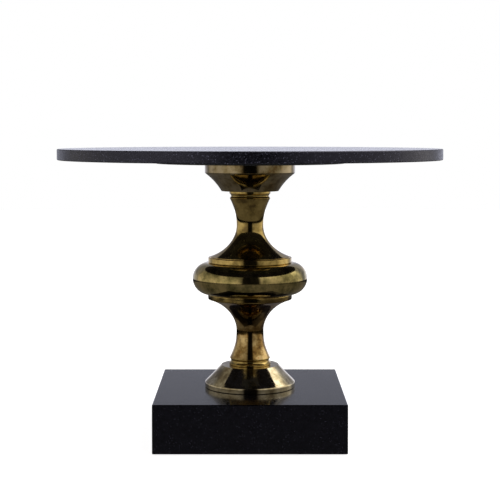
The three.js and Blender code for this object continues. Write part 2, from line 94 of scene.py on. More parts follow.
def add_node(tree: bpy.types.NodeTree, kind: str, *inputs: Any, **settings: Any) -> bpy.types.Node:
    """Adds a node with its settings and links.

    Args:
        tree: The node tree that gets the node.
        kind: The node's type name without its ShaderNode prefix.
        *inputs: One (socket name or number, value) pair for each input that is set. An output socket as
            the value is linked, and any other value is stored on the input.
        **settings: The node's own properties.

    Returns:
        The new node.
    """
    node = tree.nodes.new("ShaderNode" + kind)
    for name, value in settings.items():
        setattr(node, name, value)
    for name, value in inputs:
        if isinstance(value, bpy.types.NodeSocket):
            tree.links.new(value, node.inputs[name])
        else:
            node.inputs[name].default_value = value
    return node


def set_stops(node: bpy.types.Node, stops: list[tuple[float, tuple[float, float, float, float]]]) -> Any:
    """Gives a colour ramp its stops.

    Args:
        node: A ValToRGB node.
        stops: Positions from 0 to 1 in rising order, each with a linear colour.

    Returns:
        The ramp's colour output.
    """
    elements = node.color_ramp.elements
    while len(elements) < len(stops):
        elements.new(1.0)
    for element, (position, colour) in zip(elements, stops):
        element.position = position
        element.color = colour
    return node.outputs["Color"]


# --------------------------------------------------------------------------------------------------
# Finishes


@dataclass(frozen=True)
class Finish:
    """What every finish has: a name, a material slot in the record, and a Principled shader to set up."""

    name: str
    slot: str

    def start(self) -> tuple[bpy.types.Material, bpy.types.NodeTree, bpy.types.Node, Any]:
        """Makes the empty material.

        Returns:
            The material, its node tree, its Principled node, and the Object coordinates, which are in
            metres.
        """
        material = bpy.data.materials.new(self.name)
        material.use_nodes = True
        tree = material.node_tree
        return material, tree, tree.nodes["Principled BSDF"], add_node(tree, "TexCoord").outputs["Object"]

    def clouds(
        self,
        tree: bpy.types.NodeTree,
        place: Any,
        size_mm: float,
        detail: float,
        tones: list[tuple[float, str]],
    ) -> Any:
        """Makes a colour that drifts between tones in clouds.

        Args:
            tree: The material's node tree.
            place: The Object coordinates.
            size_mm: Width of a cloud.
            detail: How many finer layers the clouds have.
            tones: Shares of the noise from 0 to 1 in rising order, each with the sRGB colour there.

        Returns:
            The colour output.
        """
        noise = add_node(
            tree, "TexNoise", ("Vector", place), ("Scale", 1 / (size_mm * MM)), ("Detail", detail)
        )
        stops = [(share, linear(tone)) for share, tone in tones]
        return set_stops(add_node(tree, "ValToRGB", ("Fac", noise.outputs["Fac"])), stops)

    def ripple(self, tree: bpy.types.NodeTree, shader: bpy.types.Node, height: Any, depth_mm: float) -> None:
        """Tips the surface by a height pattern.

        Args:
            tree: The material's node tree.
            shader: Its Principled node.
            height: The output that gives the height from 0 to 1.
            depth_mm: How deep the pattern is at full height, in millimetres.
        """
        bump = add_node(tree, "Bump", ("Height", height), ("Distance", depth_mm * MM))
        tree.links.new(bump.outputs["Normal"], shader.inputs["Normal"])

    def from_axis(self, tree: bpy.types.NodeTree, place: Any) -> tuple[Any, Any]:
        """Gives the distance from the table's axis, and the height, of each point.

        Args:
            tree: The material's node tree.
            place: The Object coordinates.

        Returns:
            The outputs for the distance and the height.
        """
        axes = add_node(tree, "SeparateXYZ", ("Vector", place))
        flat = add_node(tree, "CombineXYZ", ("X", axes.outputs["X"]), ("Y", axes.outputs["Y"]))
        radius = add_node(tree, "VectorMath", (0, flat.outputs[0]), operation="LENGTH")
        return radius.outputs["Value"], axes.outputs["Z"]

    def build(self) -> bpy.types.Material:
        """Makes the material. Each finish has its own."""
        raise NotImplementedError


@dataclass(frozen=True)
class PolishedGranite(Finish):
    """Black granite, sawn and polished to a mirror on its faces, and honed on the turned edge of the disc.

    The eye sees an almost black, cool ground with a wet gloss. Small grey and violet feldspar grains lie
    in it, and mica grains that took the polish less well dull the reflection in spots. The honed edge is
    duller than the faces and shows more of its grains, paler.
    """

    ground_dark: str = "020205"
    ground_light: str = "08080e"
    grain_pale: str = "2b2b35"
    grain_violet: str = "1e1c2a"
    grain_honed: str = "66667a"
    crystal_mm: float = 1.6
    grain_share: float = 0.07
    honed_grain_share: float = 0.28
    grain_core: float = 0.2  # a grain fades between these distances from its middle, in crystals
    grain_rim: float = 0.5
    glossy_share: float = 0.55  # of the crystals, which keep the best gloss
    cloud_mm: float = 7.0
    gloss_best: float = 0.1
    gloss_worst: float = 0.25
    honed_best: float = 0.24
    honed_worst: float = 0.42
    ior: float = 1.5
    specular: float = 0.42
    specular_tint: str = "eeeeff"
    honed_from_mm: float = 298.6  # distance from the axis
    wave_mm: float = 55.0  # waves that a polishing head leaves, which bend long reflections a little
    wave_depth_mm: float = 0.1

    def build(self) -> bpy.types.Material:
        """Makes the granite: one cell pattern picks the grains and another shades the ground between them."""
        material, tree, shader, place = self.start()
        cells = add_node(tree, "TexVoronoi", ("Vector", place), ("Scale", 1 / (self.crystal_mm * MM)))
        lot = add_node(tree, "SeparateColor", ("Color", cells.outputs["Color"]))
        cloud = add_node(
            tree, "TexNoise", ("Vector", place),
            ("Scale", 1 / (self.cloud_mm * MM)), ("Detail", 6.0), ("Roughness", 0.7),
        )
        ground = set_stops(
            add_node(tree, "ValToRGB", ("Fac", cloud.outputs["Fac"])),
            [(0.38, linear(self.ground_dark)), (0.66, linear(self.ground_light))],
        )
        radius, _ = self.from_axis(tree, place)
        edge = add_node(tree, "Math", (0, radius), (1, self.honed_from_mm * MM), operation="GREATER_THAN")
        share = add_node(
            tree, "Mix", ("Factor", edge.outputs[0]), (2, self.grain_share), (3, self.honed_grain_share)
        )
        chosen = add_node(
            tree, "Math", (0, share.outputs[0]), (1, lot.outputs["Red"]), operation="GREATER_THAN"
        )
        core = add_node(
            tree, "MapRange", ("Value", cells.outputs["Distance"]),
            ("From Min", self.grain_core), ("From Max", self.grain_rim), ("To Min", 1.0), ("To Max", 0.0),
        )
        mask = add_node(
            tree, "Math", (0, chosen.outputs[0]), (1, core.outputs["Result"]),
            operation="MULTIPLY", use_clamp=True,
        )
        polished_grain = set_stops(
            add_node(tree, "ValToRGB", ("Fac", lot.outputs["Green"])),
            [(0.3, linear(self.grain_violet)), (0.8, linear(self.grain_pale))],
        )
        honed_grain = set_stops(
            add_node(tree, "ValToRGB", ("Fac", lot.outputs["Green"])),
            [(0.5, linear(self.grain_pale)), (1.0, linear(self.grain_honed))],
        )
        grain = add_node(
            tree, "Mix", ("Factor", edge.outputs[0]), (6, polished_grain), (7, honed_grain), data_type="RGBA"
        )
        colour = add_node(
            tree, "Mix", ("Factor", mask.outputs[0]), (6, ground), (7, grain.outputs[2]), data_type="RGBA"
        )
        gloss = add_node(
            tree, "MapRange", ("Value", lot.outputs["Blue"]),
            ("From Min", self.glossy_share), ("To Min", self.gloss_best), ("To Max", self.gloss_worst),
        )
        honed_gloss = add_node(
            tree, "MapRange", ("Value", lot.outputs["Green"]),
            ("To Min", self.honed_best), ("To Max", self.honed_worst),
        )
        roughness = add_node(
            tree, "Mix", ("Factor", edge.outputs[0]),
            (2, gloss.outputs["Result"]), (3, honed_gloss.outputs["Result"]),
        )
        tree.links.new(colour.outputs[2], shader.inputs["Base Color"])
        tree.links.new(roughness.outputs[0], shader.inputs["Roughness"])
        shader.inputs["IOR"].default_value = self.ior
        shader.inputs["Specular IOR Level"].default_value = self.specular
        shader.inputs["Specular Tint"].default_value = linear(self.specular_tint)
        wave = add_node(
            tree, "TexNoise", ("Vector", place), ("Scale", 1 / (self.wave_mm * MM)), ("Detail", 1.0)
        )
        self.ripple(tree, shader, wave.outputs["Fac"], self.wave_depth_mm)
        return material


@dataclass(frozen=True)
class AgedBrass(Finish):
    """Cast brass, turned on a lathe, darkened with patina and buffed back to a gloss.

    The eye sees a bright, slightly wavy metal between gold and olive. Brown patina stays in clouds,
    orange copper and dark tarnish show in small spots, and faint circles of the lathe tool run round
    every face.
    """

    patina: str = "806b3e"
    middle: str = "ac9354"
    bright: str = "d2b670"
    copper: str = "b87a3c"
    copper_from: float = 0.62  # where the noise of the spots is higher than this, copper begins to show
    copper_full: float = 0.74
    copper_most: float = 0.25
    tarnish: str = "4e4038"
    tarnish_from: float = 0.42  # and where it is lower than this, tarnish does
    tarnish_full: float = 0.34
    tarnish_most: float = 0.12
    cloud_mm: float = 22.0
    spot_mm: float = 6.0
    spot_weight: float = 0.2  # how much the spots and the circles shift the tone beside the clouds
    lathe_pitch_mm: float = 1.1  # coarser than the real feed, so that it shows
    lathe_weight: float = 0.1
    lathe_relief: float = 0.012  # depth of the circles as a share of the hollows
    hollow_mm: float = 24.0  # hand buffing leaves shallow hollows, so straight reflections come out wavy
    hollow_depth_mm: float = 0.3
    dull_tone: float = 0.5
    glossy_tone: float = 0.82
    gloss_best: float = 0.05
    gloss_worst: float = 0.11

    def build(self) -> bpy.types.Material:
        """Makes the brass: clouds and spots in space, and lathe circles from radius and height alone."""
        material, tree, shader, place = self.start()
        cloud = add_node(
            tree, "TexNoise", ("Vector", place),
            ("Scale", 1 / (self.cloud_mm * MM)), ("Detail", 5.0), ("Roughness", 0.6),
        )
        spots = add_node(
            tree, "TexNoise", ("Vector", place),
            ("Scale", 1 / (self.spot_mm * MM)), ("Detail", 3.0), ("Roughness", 0.65),
        )
        radius, height = self.from_axis(tree, place)
        lathe = add_node(tree, "CombineXYZ", ("X", radius), ("Y", height))
        circles = add_node(
            tree, "TexNoise", ("Vector", lathe.outputs[0]),
            ("Scale", 1 / (self.lathe_pitch_mm * MM)), ("Detail", 3.0), ("Roughness", 0.7),
            noise_dimensions="2D",
        )
        spotted = add_node(
            tree, "Math", (0, spots.outputs["Fac"]), (1, self.spot_weight), (2, cloud.outputs["Fac"]),
            operation="MULTIPLY_ADD",
        )
        tone = add_node(
            tree, "Math", (0, circles.outputs["Fac"]), (1, self.lathe_weight), (2, spotted.outputs[0]),
            operation="MULTIPLY_ADD",
        )
        metal = set_stops(
            add_node(tree, "ValToRGB", ("Fac", tone.outputs[0])),
            [(0.51, linear(self.patina)), (0.62, linear(self.middle)), (0.77, linear(self.bright))],
        )
        copper_mask = add_node(
            tree, "MapRange", ("Value", spots.outputs["Fac"]),
            ("From Min", self.copper_from), ("From Max", self.copper_full), ("To Max", self.copper_most),
        )
        coppery = add_node(
            tree, "Mix", ("Factor", copper_mask.outputs["Result"]), (6, metal), (7, linear(self.copper)),
            data_type="RGBA",
        )
        tarnish_mask = add_node(
            tree, "MapRange", ("Value", spots.outputs["Fac"]),
            ("From Min", self.tarnish_from), ("From Max", self.tarnish_full), ("To Max", self.tarnish_most),
        )
        colour = add_node(
            tree, "Mix", ("Factor", tarnish_mask.outputs["Result"]),
            (6, coppery.outputs[2]), (7, linear(self.tarnish)),
            data_type="RGBA",
        )
        gloss = add_node(
            tree, "MapRange", ("Value", tone.outputs[0]),
            ("From Min", self.dull_tone), ("From Max", self.glossy_tone),
            ("To Min", self.gloss_worst), ("To Max", self.gloss_best),
        )
        tree.links.new(colour.outputs[2], shader.inputs["Base Color"])
        tree.links.new(gloss.outputs["Result"], shader.inputs["Roughness"])
        shader.inputs["Metallic"].default_value = 1.0
        hollows = add_node(
            tree, "TexNoise", ("Vector", place), ("Scale", 1 / (self.hollow_mm * MM)), ("Detail", 1.0)
        )
        relief = add_node(
            tree, "Math", (0, circles.outputs["Fac"]), (1, self.lathe_relief), (2, hollows.outputs["Fac"]),
            operation="MULTIPLY_ADD",
        )
        self.ripple(tree, shader, relief.outputs[0], self.hollow_depth_mm)
        return material


@dataclass(frozen=True)
class PowderCoat(Finish):
    """Steel under baked black polyester powder: a satin black with a fine orange peel."""

    dark: str = "0c0d0f"
    light: str = "17181b"
    peel_mm: float = 1.4
    peel_depth_mm: float = 0.03
    drift_mm: float = 30.0
    gloss: float = 0.42

    def build(self) -> bpy.types.Material:
        """Makes the coating: one fine noise for the orange peel and a wide one for uneven thickness."""
        material, tree, shader, place = self.start()
        peel = add_node(
            tree, "TexNoise", ("Vector", place), ("Scale", 1 / (self.peel_mm * MM)), ("Detail", 2.0)
        )
        colour = self.clouds(tree, place, self.drift_mm, 3.0, [(0.3, self.dark), (0.7, self.light)])
        tree.links.new(colour, shader.inputs["Base Color"])
        shader.inputs["Roughness"].default_value = self.gloss
        self.ripple(tree, shader, peel.outputs["Fac"], self.peel_depth_mm)
        return material


@dataclass(frozen=True)
class PlainMetal(Finish):
    """A bare or plated metal with a fine grain: zinc plate on the steel parts, drawn brass in the inserts.

    The eye sees a soft metal grey or yellow that shifts a little from place to place, as plating from a
    barrel does.
    """

    dark: str
    light: str
    gloss: float
    drift_mm: float = 6.0
    grain_mm: float = 0.9
    grain_depth_mm: float = 0.01

    def build(self) -> bpy.types.Material:
        """Makes the metal: one noise shifts the colour, and a finer one gives the grain."""
        material, tree, shader, place = self.start()
        grain = add_node(
            tree, "TexNoise", ("Vector", place), ("Scale", 1 / (self.grain_mm * MM)), ("Detail", 2.0)
        )
        colour = self.clouds(tree, place, self.drift_mm, 4.0, [(0.35, self.dark), (0.65, self.light)])
        tree.links.new(colour, shader.inputs["Base Color"])
        shader.inputs["Metallic"].default_value = 1.0
        shader.inputs["Roughness"].default_value = self.gloss
        self.ripple(tree, shader, grain.outputs["Fac"], self.grain_depth_mm)
        return material


@dataclass(frozen=True)
class MouldedRubber(Finish):
    """Moulded nitrile rubber: a dull black that dust has greyed, with the fine pits of the mould."""

    dark: str = "121213"
    dusty: str = "262628"
    dust_mm: float = 9.0
    pit_mm: float = 0.8
    pit_depth_mm: float = 0.04
    gloss: float = 0.78
    ior: float = 1.52

    def build(self) -> bpy.types.Material:
        """Makes the rubber: a cloud of dust in the colour and pits in the relief."""
        material, tree, shader, place = self.start()
        pits = add_node(tree, "TexVoronoi", ("Vector", place), ("Scale", 1 / (self.pit_mm * MM)))
        colour = self.clouds(tree, place, self.dust_mm, 4.0, [(0.4, self.dark), (0.75, self.dusty)])
        tree.links.new(colour, shader.inputs["Base Color"])
        shader.inputs["Roughness"].default_value = self.gloss
        shader.inputs["IOR"].default_value = self.ior
        self.ripple(tree, shader, pits.outputs["Distance"], self.pit_depth_mm)
        return material


class Coat(Enum):
    """The finishes of this table. The parts of the column aged one by one, so their brasses differ."""

    GRANITE = PolishedGranite("polished_black_granite", "granite")
    EDGED_GRANITE = PolishedGranite(
        "polished_black_granite_honed_edge", "granite", specular=0.85, specular_tint="dcdcfc"
    )
    GOLD_BRASS = AgedBrass("patinated_turned_brass", "aged_brass")
    COPPERY_BRASS = AgedBrass(
        "coppery_patinated_turned_brass", "aged_brass",
        patina="5f4424", middle="957641", bright="ceb27a", copper_most=0.75, tarnish_most=0.3,
    )
    OLIVE_BRASS = AgedBrass(
        "olive_patinated_turned_brass", "aged_brass", patina="736a3e", middle="a5965f", bright="d2bb7d"
    )
    GREY_BRASS = AgedBrass(
        "grey_patinated_turned_brass", "aged_brass",
        patina="6c5836", middle="8d7d59", bright="a9997a", copper_most=0.5, tarnish_most=0.4,
    )
    PALE_BRASS = AgedBrass(
        "pale_patinated_turned_brass", "aged_brass", patina="8a7a5c", middle="b3a582", bright="ddd0b0"
    )
    BLACK_STEEL = PowderCoat("black_powder_coated_steel", "black_steel")
    ZINC_STEEL = PlainMetal("zinc_plated_steel", "zinc_steel", dark="a3a6a8", light="c6c8c9", gloss=0.32)
    INSERT_BRASS = PlainMetal("drawn_brass", "insert_brass", dark="b0924e", light="d0b26c", gloss=0.3)
    RUBBER = MouldedRubber("moulded_rubber", "rubber")


class Workshop:
    """Makes each material once, and turns finished grids into pieces of the table."""

    def __init__(self) -> None:
        """Starts with no material made."""
        self.made: dict[Coat, bpy.types.Material] = {}

    def material(self, coat: Coat) -> bpy.types.Material:
        """The material of a finish, made the first time it is asked for."""
        if coat not in self.made:
            self.made[coat] = coat.value.build()
        return self.made[coat]

    def piece(self, mesh: bpy.types.Mesh, node: str, coat: Coat) -> bpy.types.Object:
        """Makes a mesh the visible piece of one CAD node.

        Args:
            mesh: The finished mesh, in metres, in the frame of the CAD model.
            node: The CAD node that the piece stands for.
            coat: Its finish.

        Returns:
            The piece's object.
        """
        mesh.materials.clear()
        mesh.materials.append(self.material(coat))
        piece = bpy.data.objects.new(node + "_look", mesh)
        bpy.context.scene.collection.objects.link(piece)
        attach(piece, "root")
        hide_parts(node)
        LOG.info("%s: %d faces, %s", piece.name, len(mesh.polygons), coat.value.name)
        return piece

    def turned(
        self, node: str, outline: "Outline", coat: Coat, over: bool = False, seat: float = 0.0
    ) -> None:
        """Sweeps an outline into a piece of the column.

        Args:
            node: The CAD node that the piece stands for.
            outline: The outline, with its seat at height 0.
            coat: The piece's finish.
            over: Whether the piece is turned over, which puts its seat on top.
            seat: How far the seat lies in from that end of the CAD node.
        """
        low, high = span(node)
        points = outline.points(high[2] - seat if over else low[2] + seat, turned_over=over)
        self.piece(revolve(node, points, COLUMN_SEGMENTS), node, coat)


# --------------------------------------------------------------------------------------------------
# Shapes


def span(node: str) -> tuple[np.ndarray, np.ndarray]:
    """The lowest and highest corner of a CAD node, in millimetres."""
    low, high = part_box(node)
    return np.array(low) / MM, np.array(high) / MM


def middle(node: str) -> np.ndarray:
    """The middle of a CAD node's box in X and Y, and its lowest height, in millimetres."""
    low, high = span(node)
    return np.array([(low[0] + high[0]) / 2, (low[1] + high[1]) / 2, low[2]])


def bezier(handles: list[tuple[float, float]], steps: int) -> np.ndarray:
    """Points on a Bezier curve: the handles weighted by Bernstein's polynomials.

    Args:
        handles: Two end points and the handles between them.
        steps: How many equal steps of the parameter the curve has.

    Returns:
        An array of steps + 1 points.
    """
    degree = len(handles) - 1
    share = np.linspace(0, 1, steps + 1)[:, None]
    order = np.arange(degree + 1)[None, :]
    choices = np.array([math.comb(degree, k) for k in range(degree + 1)])
    return (choices * share**order * (1 - share) ** (degree - order)) @ np.array(handles)


def ellipse(
    centre: tuple[float, float], half_axes: tuple[float, float], start: float, end: float, steps: int
) -> np.ndarray:
    """Points on an ellipse: the centre plus each half axis times the cosine and the sine of the angle.

    Args:
        centre: Radius and height of the centre.
        half_axes: Half the width and half the height.
        start: First angle in degrees.
        end: Last angle in degrees.
        steps: How many equal steps of the angle the curve has.

    Returns:
        An array of steps + 1 points.
    """
    angle = np.radians(np.linspace(start, end, steps + 1))
    return np.array(centre) + np.column_stack([np.cos(angle), np.sin(angle)]) * np.array(half_axes)


class Outline:
    """A closed outline in the plane of radius and height, in millimetres, drawn anticlockwise.

    A corner may be rounded. Its rounding is an arc that touches both neighbouring lines. A point a little
    way along each line keeps the flat beside the arc flat in the shading.
    """

    def __init__(self) -> None:
        """Starts with no points."""
        self.runs: list[tuple[np.ndarray, float]] = []

    def to(self, radius: float, height: float, rounding: float = 0.0) -> "Outline":
        """Adds a corner with a rounding, and returns the outline."""
        self.runs.append((np.array([[radius, height]], float), rounding))
        return self

    def along(self, curve: np.ndarray) -> "Outline":
        """Adds a curve that starts where the outline has come to, and returns the outline."""
        self.runs.append((curve[1:], 0.0))
        return self

    def _rounded(
        self, before: np.ndarray, corner: np.ndarray, after: np.ndarray, rounding: float
    ) -> np.ndarray:
        """The points that stand for a rounded corner.

        The arc's middle lies on the line that halves the corner, one rounding divided by the sine of the
        half angle away, and the arc touches each side one rounding divided by the tangent of the half
        angle from the corner.

        Args:
            before: The point before the corner.
            corner: The corner.
            after: The point after it.
            rounding: The arc's radius.

        Returns:
            The holding points and the arc between them.
        """
        arms = np.array([before - corner, after - corner])
        lengths = np.linalg.norm(arms, axis=1)
        units = arms / lengths[:, None]
        half_angle = math.acos(float(np.clip(units[0] @ units[1], -1, 1))) / 2
        reach = rounding / math.tan(half_angle)
        halving = units.sum(axis=0)
        centre = corner + halving / np.linalg.norm(halving) * rounding / math.sin(half_angle)
        touches = corner + units * reach
        first, last = np.arctan2(*(touches - centre).T[::-1])
        sweep = (last - first + math.pi) % FULL_TURN - math.pi
        angles = first + sweep * np.linspace(0, 1, ROUND_STEPS + 1)
        arc = centre + rounding * np.column_stack([np.cos(angles), np.sin(angles)])
        holds = touches + units * np.minimum(HOLD, np.maximum(lengths - reach, 0) * HOLD_SHARE)[:, None]
        return np.vstack([holds[:1], arc, holds[1:]])

    def points(self, lift: float = 0.0, turned_over: bool = False) -> np.ndarray:
        """Works out the outline.

        Args:
            lift: Height that is added to every point.
            turned_over: Whether the outline is mirrored in height first, which keeps it anticlockwise by
                also running it backwards.

        Returns:
            An array of radius and height pairs, in order, without the first repeated at the end.
        """
        count = len(self.runs)
        parts = []
        for i, (run, rounding) in enumerate(self.runs):
            if rounding:
                before = self.runs[i - 1][0][-1]
                after = self.runs[(i + 1) % count][0][0]
                parts.append(self._rounded(before, run[0], after, rounding))
            else:
                parts.append(run)
        outline = np.vstack(parts)
        if turned_over:
            outline = outline[::-1] * np.array([1, -1])
        return outline + np.array([0, lift])


def skin(name: str, rings: np.ndarray, looped: bool) -> bpy.types.Mesh:
    """Skins a grid of rings.

    Each row of the grid is a closed ring. A face joins each point to the next round its ring and to the
    same two on the next ring. A looped grid also joins its last ring to its first. Otherwise each end is
    closed: by a pole where the ring has no size, and by one flat face where it has.

    Args:
        name: The mesh's name.
        rings: Points in millimetres, as an array of rings by points by 3.
        looped: Whether the last ring joins the first.

    Returns:
        The mesh, in metres, smooth but for its folds.
    """
    rows, columns = rings.shape[:2]
    index = np.arange(rows * columns).reshape(rows, columns)
    after = np.roll(index, -1, axis=1)
    here, there = (index, np.roll(index, -1, axis=0)) if looped else (index[:-1], index[1:])
    here_next, there_next = (after, np.roll(after, -1, axis=0)) if looped else (after[:-1], after[1:])
    faces = np.stack([here, here_next, there_next, there], axis=-1).reshape(-1, 4).tolist()
    poles: list[int] = []
    if not looped:
        for end, row in ((index[0][::-1], rings[0]), (index[-1], rings[-1])):
            if np.ptp(row, axis=0).max() > MM:
                faces.append(end.tolist())
            else:
                poles.extend(end.tolist())
    mesh = bpy.data.meshes.new(name)
    mesh.from_pydata((rings.reshape(-1, 3) * MM).tolist(), [], faces)
    if poles:
        work = bmesh.new()
        work.from_mesh(mesh)
        work.verts.ensure_lookup_table()
        bmesh.ops.remove_doubles(work, verts=[work.verts[i] for i in poles], dist=MERGE_DISTANCE)
        work.to_mesh(mesh)
        work.free()
    mesh.shade_smooth()
    mesh.set_sharp_from_angle(angle=SHARP_ANGLE)
    return mesh


def full_turn(segments: int) -> np.ndarray:
    """The turns of equal steps round a full circle, from 0 and without the last."""
    return np.arange(segments) / segments * FULL_TURN


def around(radius: Any, turn: np.ndarray, height: Any, centre: tuple[float, float] = (0, 0)) -> np.ndarray:
    """Points round an upright axis: X and Y are the radius times the cosine and sine of the turn.

    Args:
        radius: Distances from the axis.
        turn: Turns in radians. Radius, turn and height may be arrays that broadcast to one shape.
        height: Heights.
        centre: Where the axis stands in X and Y.

    Returns:
        An array of that shape, with three coordinates for each point.
    """
    across = centre[0] + radius * np.cos(turn)
    along = centre[1] + radius * np.sin(turn)
    return np.stack([across, along, np.broadcast_to(height, across.shape)], axis=-1)


def revolve(
    name: str, outline: np.ndarray, segments: int, centre: tuple[float, float] = (0, 0)
) -> bpy.types.Mesh:
    """Sweeps an outline round an upright axis.

    Args:
        name: The mesh's name.
        outline: Radius and height pairs in millimetres. It starts and ends on the axis, or goes round a
            hole.
        segments: Steps in a full turn.
        centre: Where the axis stands in X and Y.

    Returns:
        The mesh.
    """
    rings = around(outline[:, 0, None], full_turn(segments), outline[:, 1, None], centre)
    return skin(name, rings, looped=bool(outline[0, 0] > 0))


def hexagon_radius(turn: np.ndarray, across_flats: float) -> np.ndarray:
    """Radius of a hexagon at each turn: half its width over the cosine of the angle from the nearest flat."""
    return across_flats / 2 / np.cos((turn % (FULL_TURN / 6)) - FULL_TURN / 12)


def thread_groove(height: np.ndarray, turn: np.ndarray, pitch: float) -> np.ndarray:
    """How deep a thread is cut, from 0 on its crest to 1 at its root.

    The place in the pitch is the height over the pitch less the turn, so the crest climbs as it goes
    round. The depth falls off in proportion to the distance from the middle of the pitch, and is held
    between 0 and 1.

    Args:
        height: Heights, as a column.
        turn: Turns in radians.
        pitch: How far the thread climbs in a turn.

    Returns:
        The depth at every height and turn.
    """
    place = (height / pitch - turn / FULL_TURN) % 1
    return np.clip((ROOT_SHARE / 2 + FLANK_SHARE - np.abs(place - 0.5)) / FLANK_SHARE, 0, 1)


def drill(mesh: bpy.types.Mesh, tools: list[bpy.types.Mesh]) -> bpy.types.Mesh:
    """Cuts other meshes out of a mesh with exact booleans.

    Args:
        mesh: The mesh to cut.
        tools: Closed meshes to take away. They are removed afterwards.

    Returns:
        The cut mesh, under the same name.
    """
    blank = bpy.data.objects.new("blank", mesh)
    bpy.context.scene.collection.objects.link(blank)
    cutters = [bpy.data.objects.new("cutter", tool) for tool in tools]
    for cutter in cutters:
        bpy.context.scene.collection.objects.link(cutter)
        step = blank.modifiers.new("drill", "BOOLEAN")
        step.operation = "DIFFERENCE"
        step.solver = "EXACT"
        step.object = cutter
    graph = bpy.context.evaluated_depsgraph_get()
    result = bpy.data.meshes.new_from_object(blank.evaluated_get(graph))
    for helper in (blank, *cutters):
        used = helper.data
        bpy.data.objects.remove(helper)
        bpy.data.meshes.remove(used)
    result.shade_smooth()
    result.set_sharp_from_angle(angle=SHARP_ANGLE)
    return result


# --------------------------------------------------------------------------------------------------
# The table


@dataclass
class Stone:
    """The granite disc and the granite plinth. Sizes in millimetres."""

    shop: Workshop
    top_arris: float = 1.2
    plinth_arris: float = 1.0
    plinth_corner: float = 1.6  # rounding of the plinth's upright edges
    arris_softness: float = 0.3
    pocket_radius: float = 23.0
    pocket_depth: float = 30.0
    rod_hole: float = 7.5
    corner_steps: int = 6
    side_steps: int = 24
    insert_hole_radius: float = 5.3
    insert_hole_depth: float = 11.3
    corner_least: float = 0.4  # rounding that the upright edges keep where they run into the arrises
    face_reach: float = 30.0
    bore_chamfer: float = 0.5

    def build_top(self, screw_places: list[np.ndarray]) -> None:
        """Makes the disc, with a blind hole for each screw insert.

        Args:
            screw_places: The middles of the inserts.
        """
        low, high = span("table_top")
        radius, tall = high[0], high[2] - low[2]
        inner, soft = radius - self.top_arris, self.arris_softness
        outline = (
            Outline()
            .to(0, 0)
            .to(inner, 0, soft)
            .to(radius, self.top_arris, soft)
            .to(radius, tall - self.top_arris, soft)
            .to(inner, tall, soft)
            .to(0, tall)
        )
        disc = revolve("table_top", outline.points(low[2]), STONE_SEGMENTS)
        hole = np.array([[0, -1], [1, -1], [1, 1], [0, 1]])
        hole = hole * [self.insert_hole_radius, self.insert_hole_depth] + [0, low[2]]
        tools = [revolve("hole", hole, HARDWARE_SEGMENTS, (place[0], place[1])) for place in screw_places]
        self.shop.piece(drill(disc, tools), "table_top", Coat.EDGED_GRANITE)

    def _square(self, half: float, corner: float, height: float) -> np.ndarray:
        """A level ring in the shape of a square with round corners.

        Each quarter is a straight side and an arc. The four quarters are one quarter turned by right
        angles.

        Args:
            half: Half the side.
            corner: Radius of the corners.
            height: Height of the ring.

        Returns:
            The ring's points.
        """
        reach = half - corner
        side = np.column_stack([np.full(self.side_steps, half), np.linspace(-reach, reach, self.side_steps)])
        angle = np.linspace(0, math.pi / 2, self.corner_steps + 1)[1:-1]
        arc = reach + corner * np.column_stack([np.cos(angle), np.sin(angle)])
        quarter = np.vstack([side, arc])
        turns = [quarter @ np.array([[c, s], [-s, c]]) for c, s in ((1, 0), (0, 1), (-1, 0), (0, -1))]
        ring = np.vstack(turns)
        return np.column_stack([ring, np.full(len(ring), height)])

    def build_plinth(self) -> None:
        """Makes the plinth: square rings outside, and round rings at the same bearings through the bore.

        The section's last two corners lie on the flat faces. They only give the roundings before them a
        direction.
        """
        low, high = span("base_plinth")
        half, floor, tall = high[0], low[2], high[2] - low[2]
        hole, arris, soft = self.rod_hole, self.plinth_arris, self.arris_softness
        section = (
            Outline()
            .to(half - arris, 0, soft)
            .to(half, arris, soft)
            .to(half, tall - arris, soft)
            .to(half - arris, tall, soft)
            .to(half - self.face_reach, tall)
            .to(half - self.face_reach, 0)
            .points(floor)
        )
        squares = [
            self._square(radius, max(self.plinth_corner - (half - radius), self.corner_least), height)
            for radius, height in section[:-2]
        ]
        bearing = np.arctan2(squares[0][:, 1], squares[0][:, 0])
        chamfer, pocket, deep = self.bore_chamfer, self.pocket_radius, self.pocket_depth
        bore = [(hole + chamfer, tall), (hole, tall - chamfer), (hole, deep)]
        bore += [(pocket, deep), (pocket, chamfer), (pocket + chamfer, 0)]
        circles = [around(radius, bearing, floor + height) for radius, height in bore]
        mesh = skin("base_plinth", np.array(squares + circles), looped=True)
        self.shop.piece(mesh, "base_plinth", Coat.GRANITE)


@dataclass(frozen=True)
class FlangeForm:
    """What differs between the two flanges. Sizes in millimetres."""

    band: float  # height of the upright band
    shoulder: float  # height and width of the bevel over it
    foot: float  # rounding of the edge at the seat
    hollow: float  # how far the handle of the cove's curve lies off the middle of its chord
    worn: float  # how far buffing has rounded the edge between band and shoulder


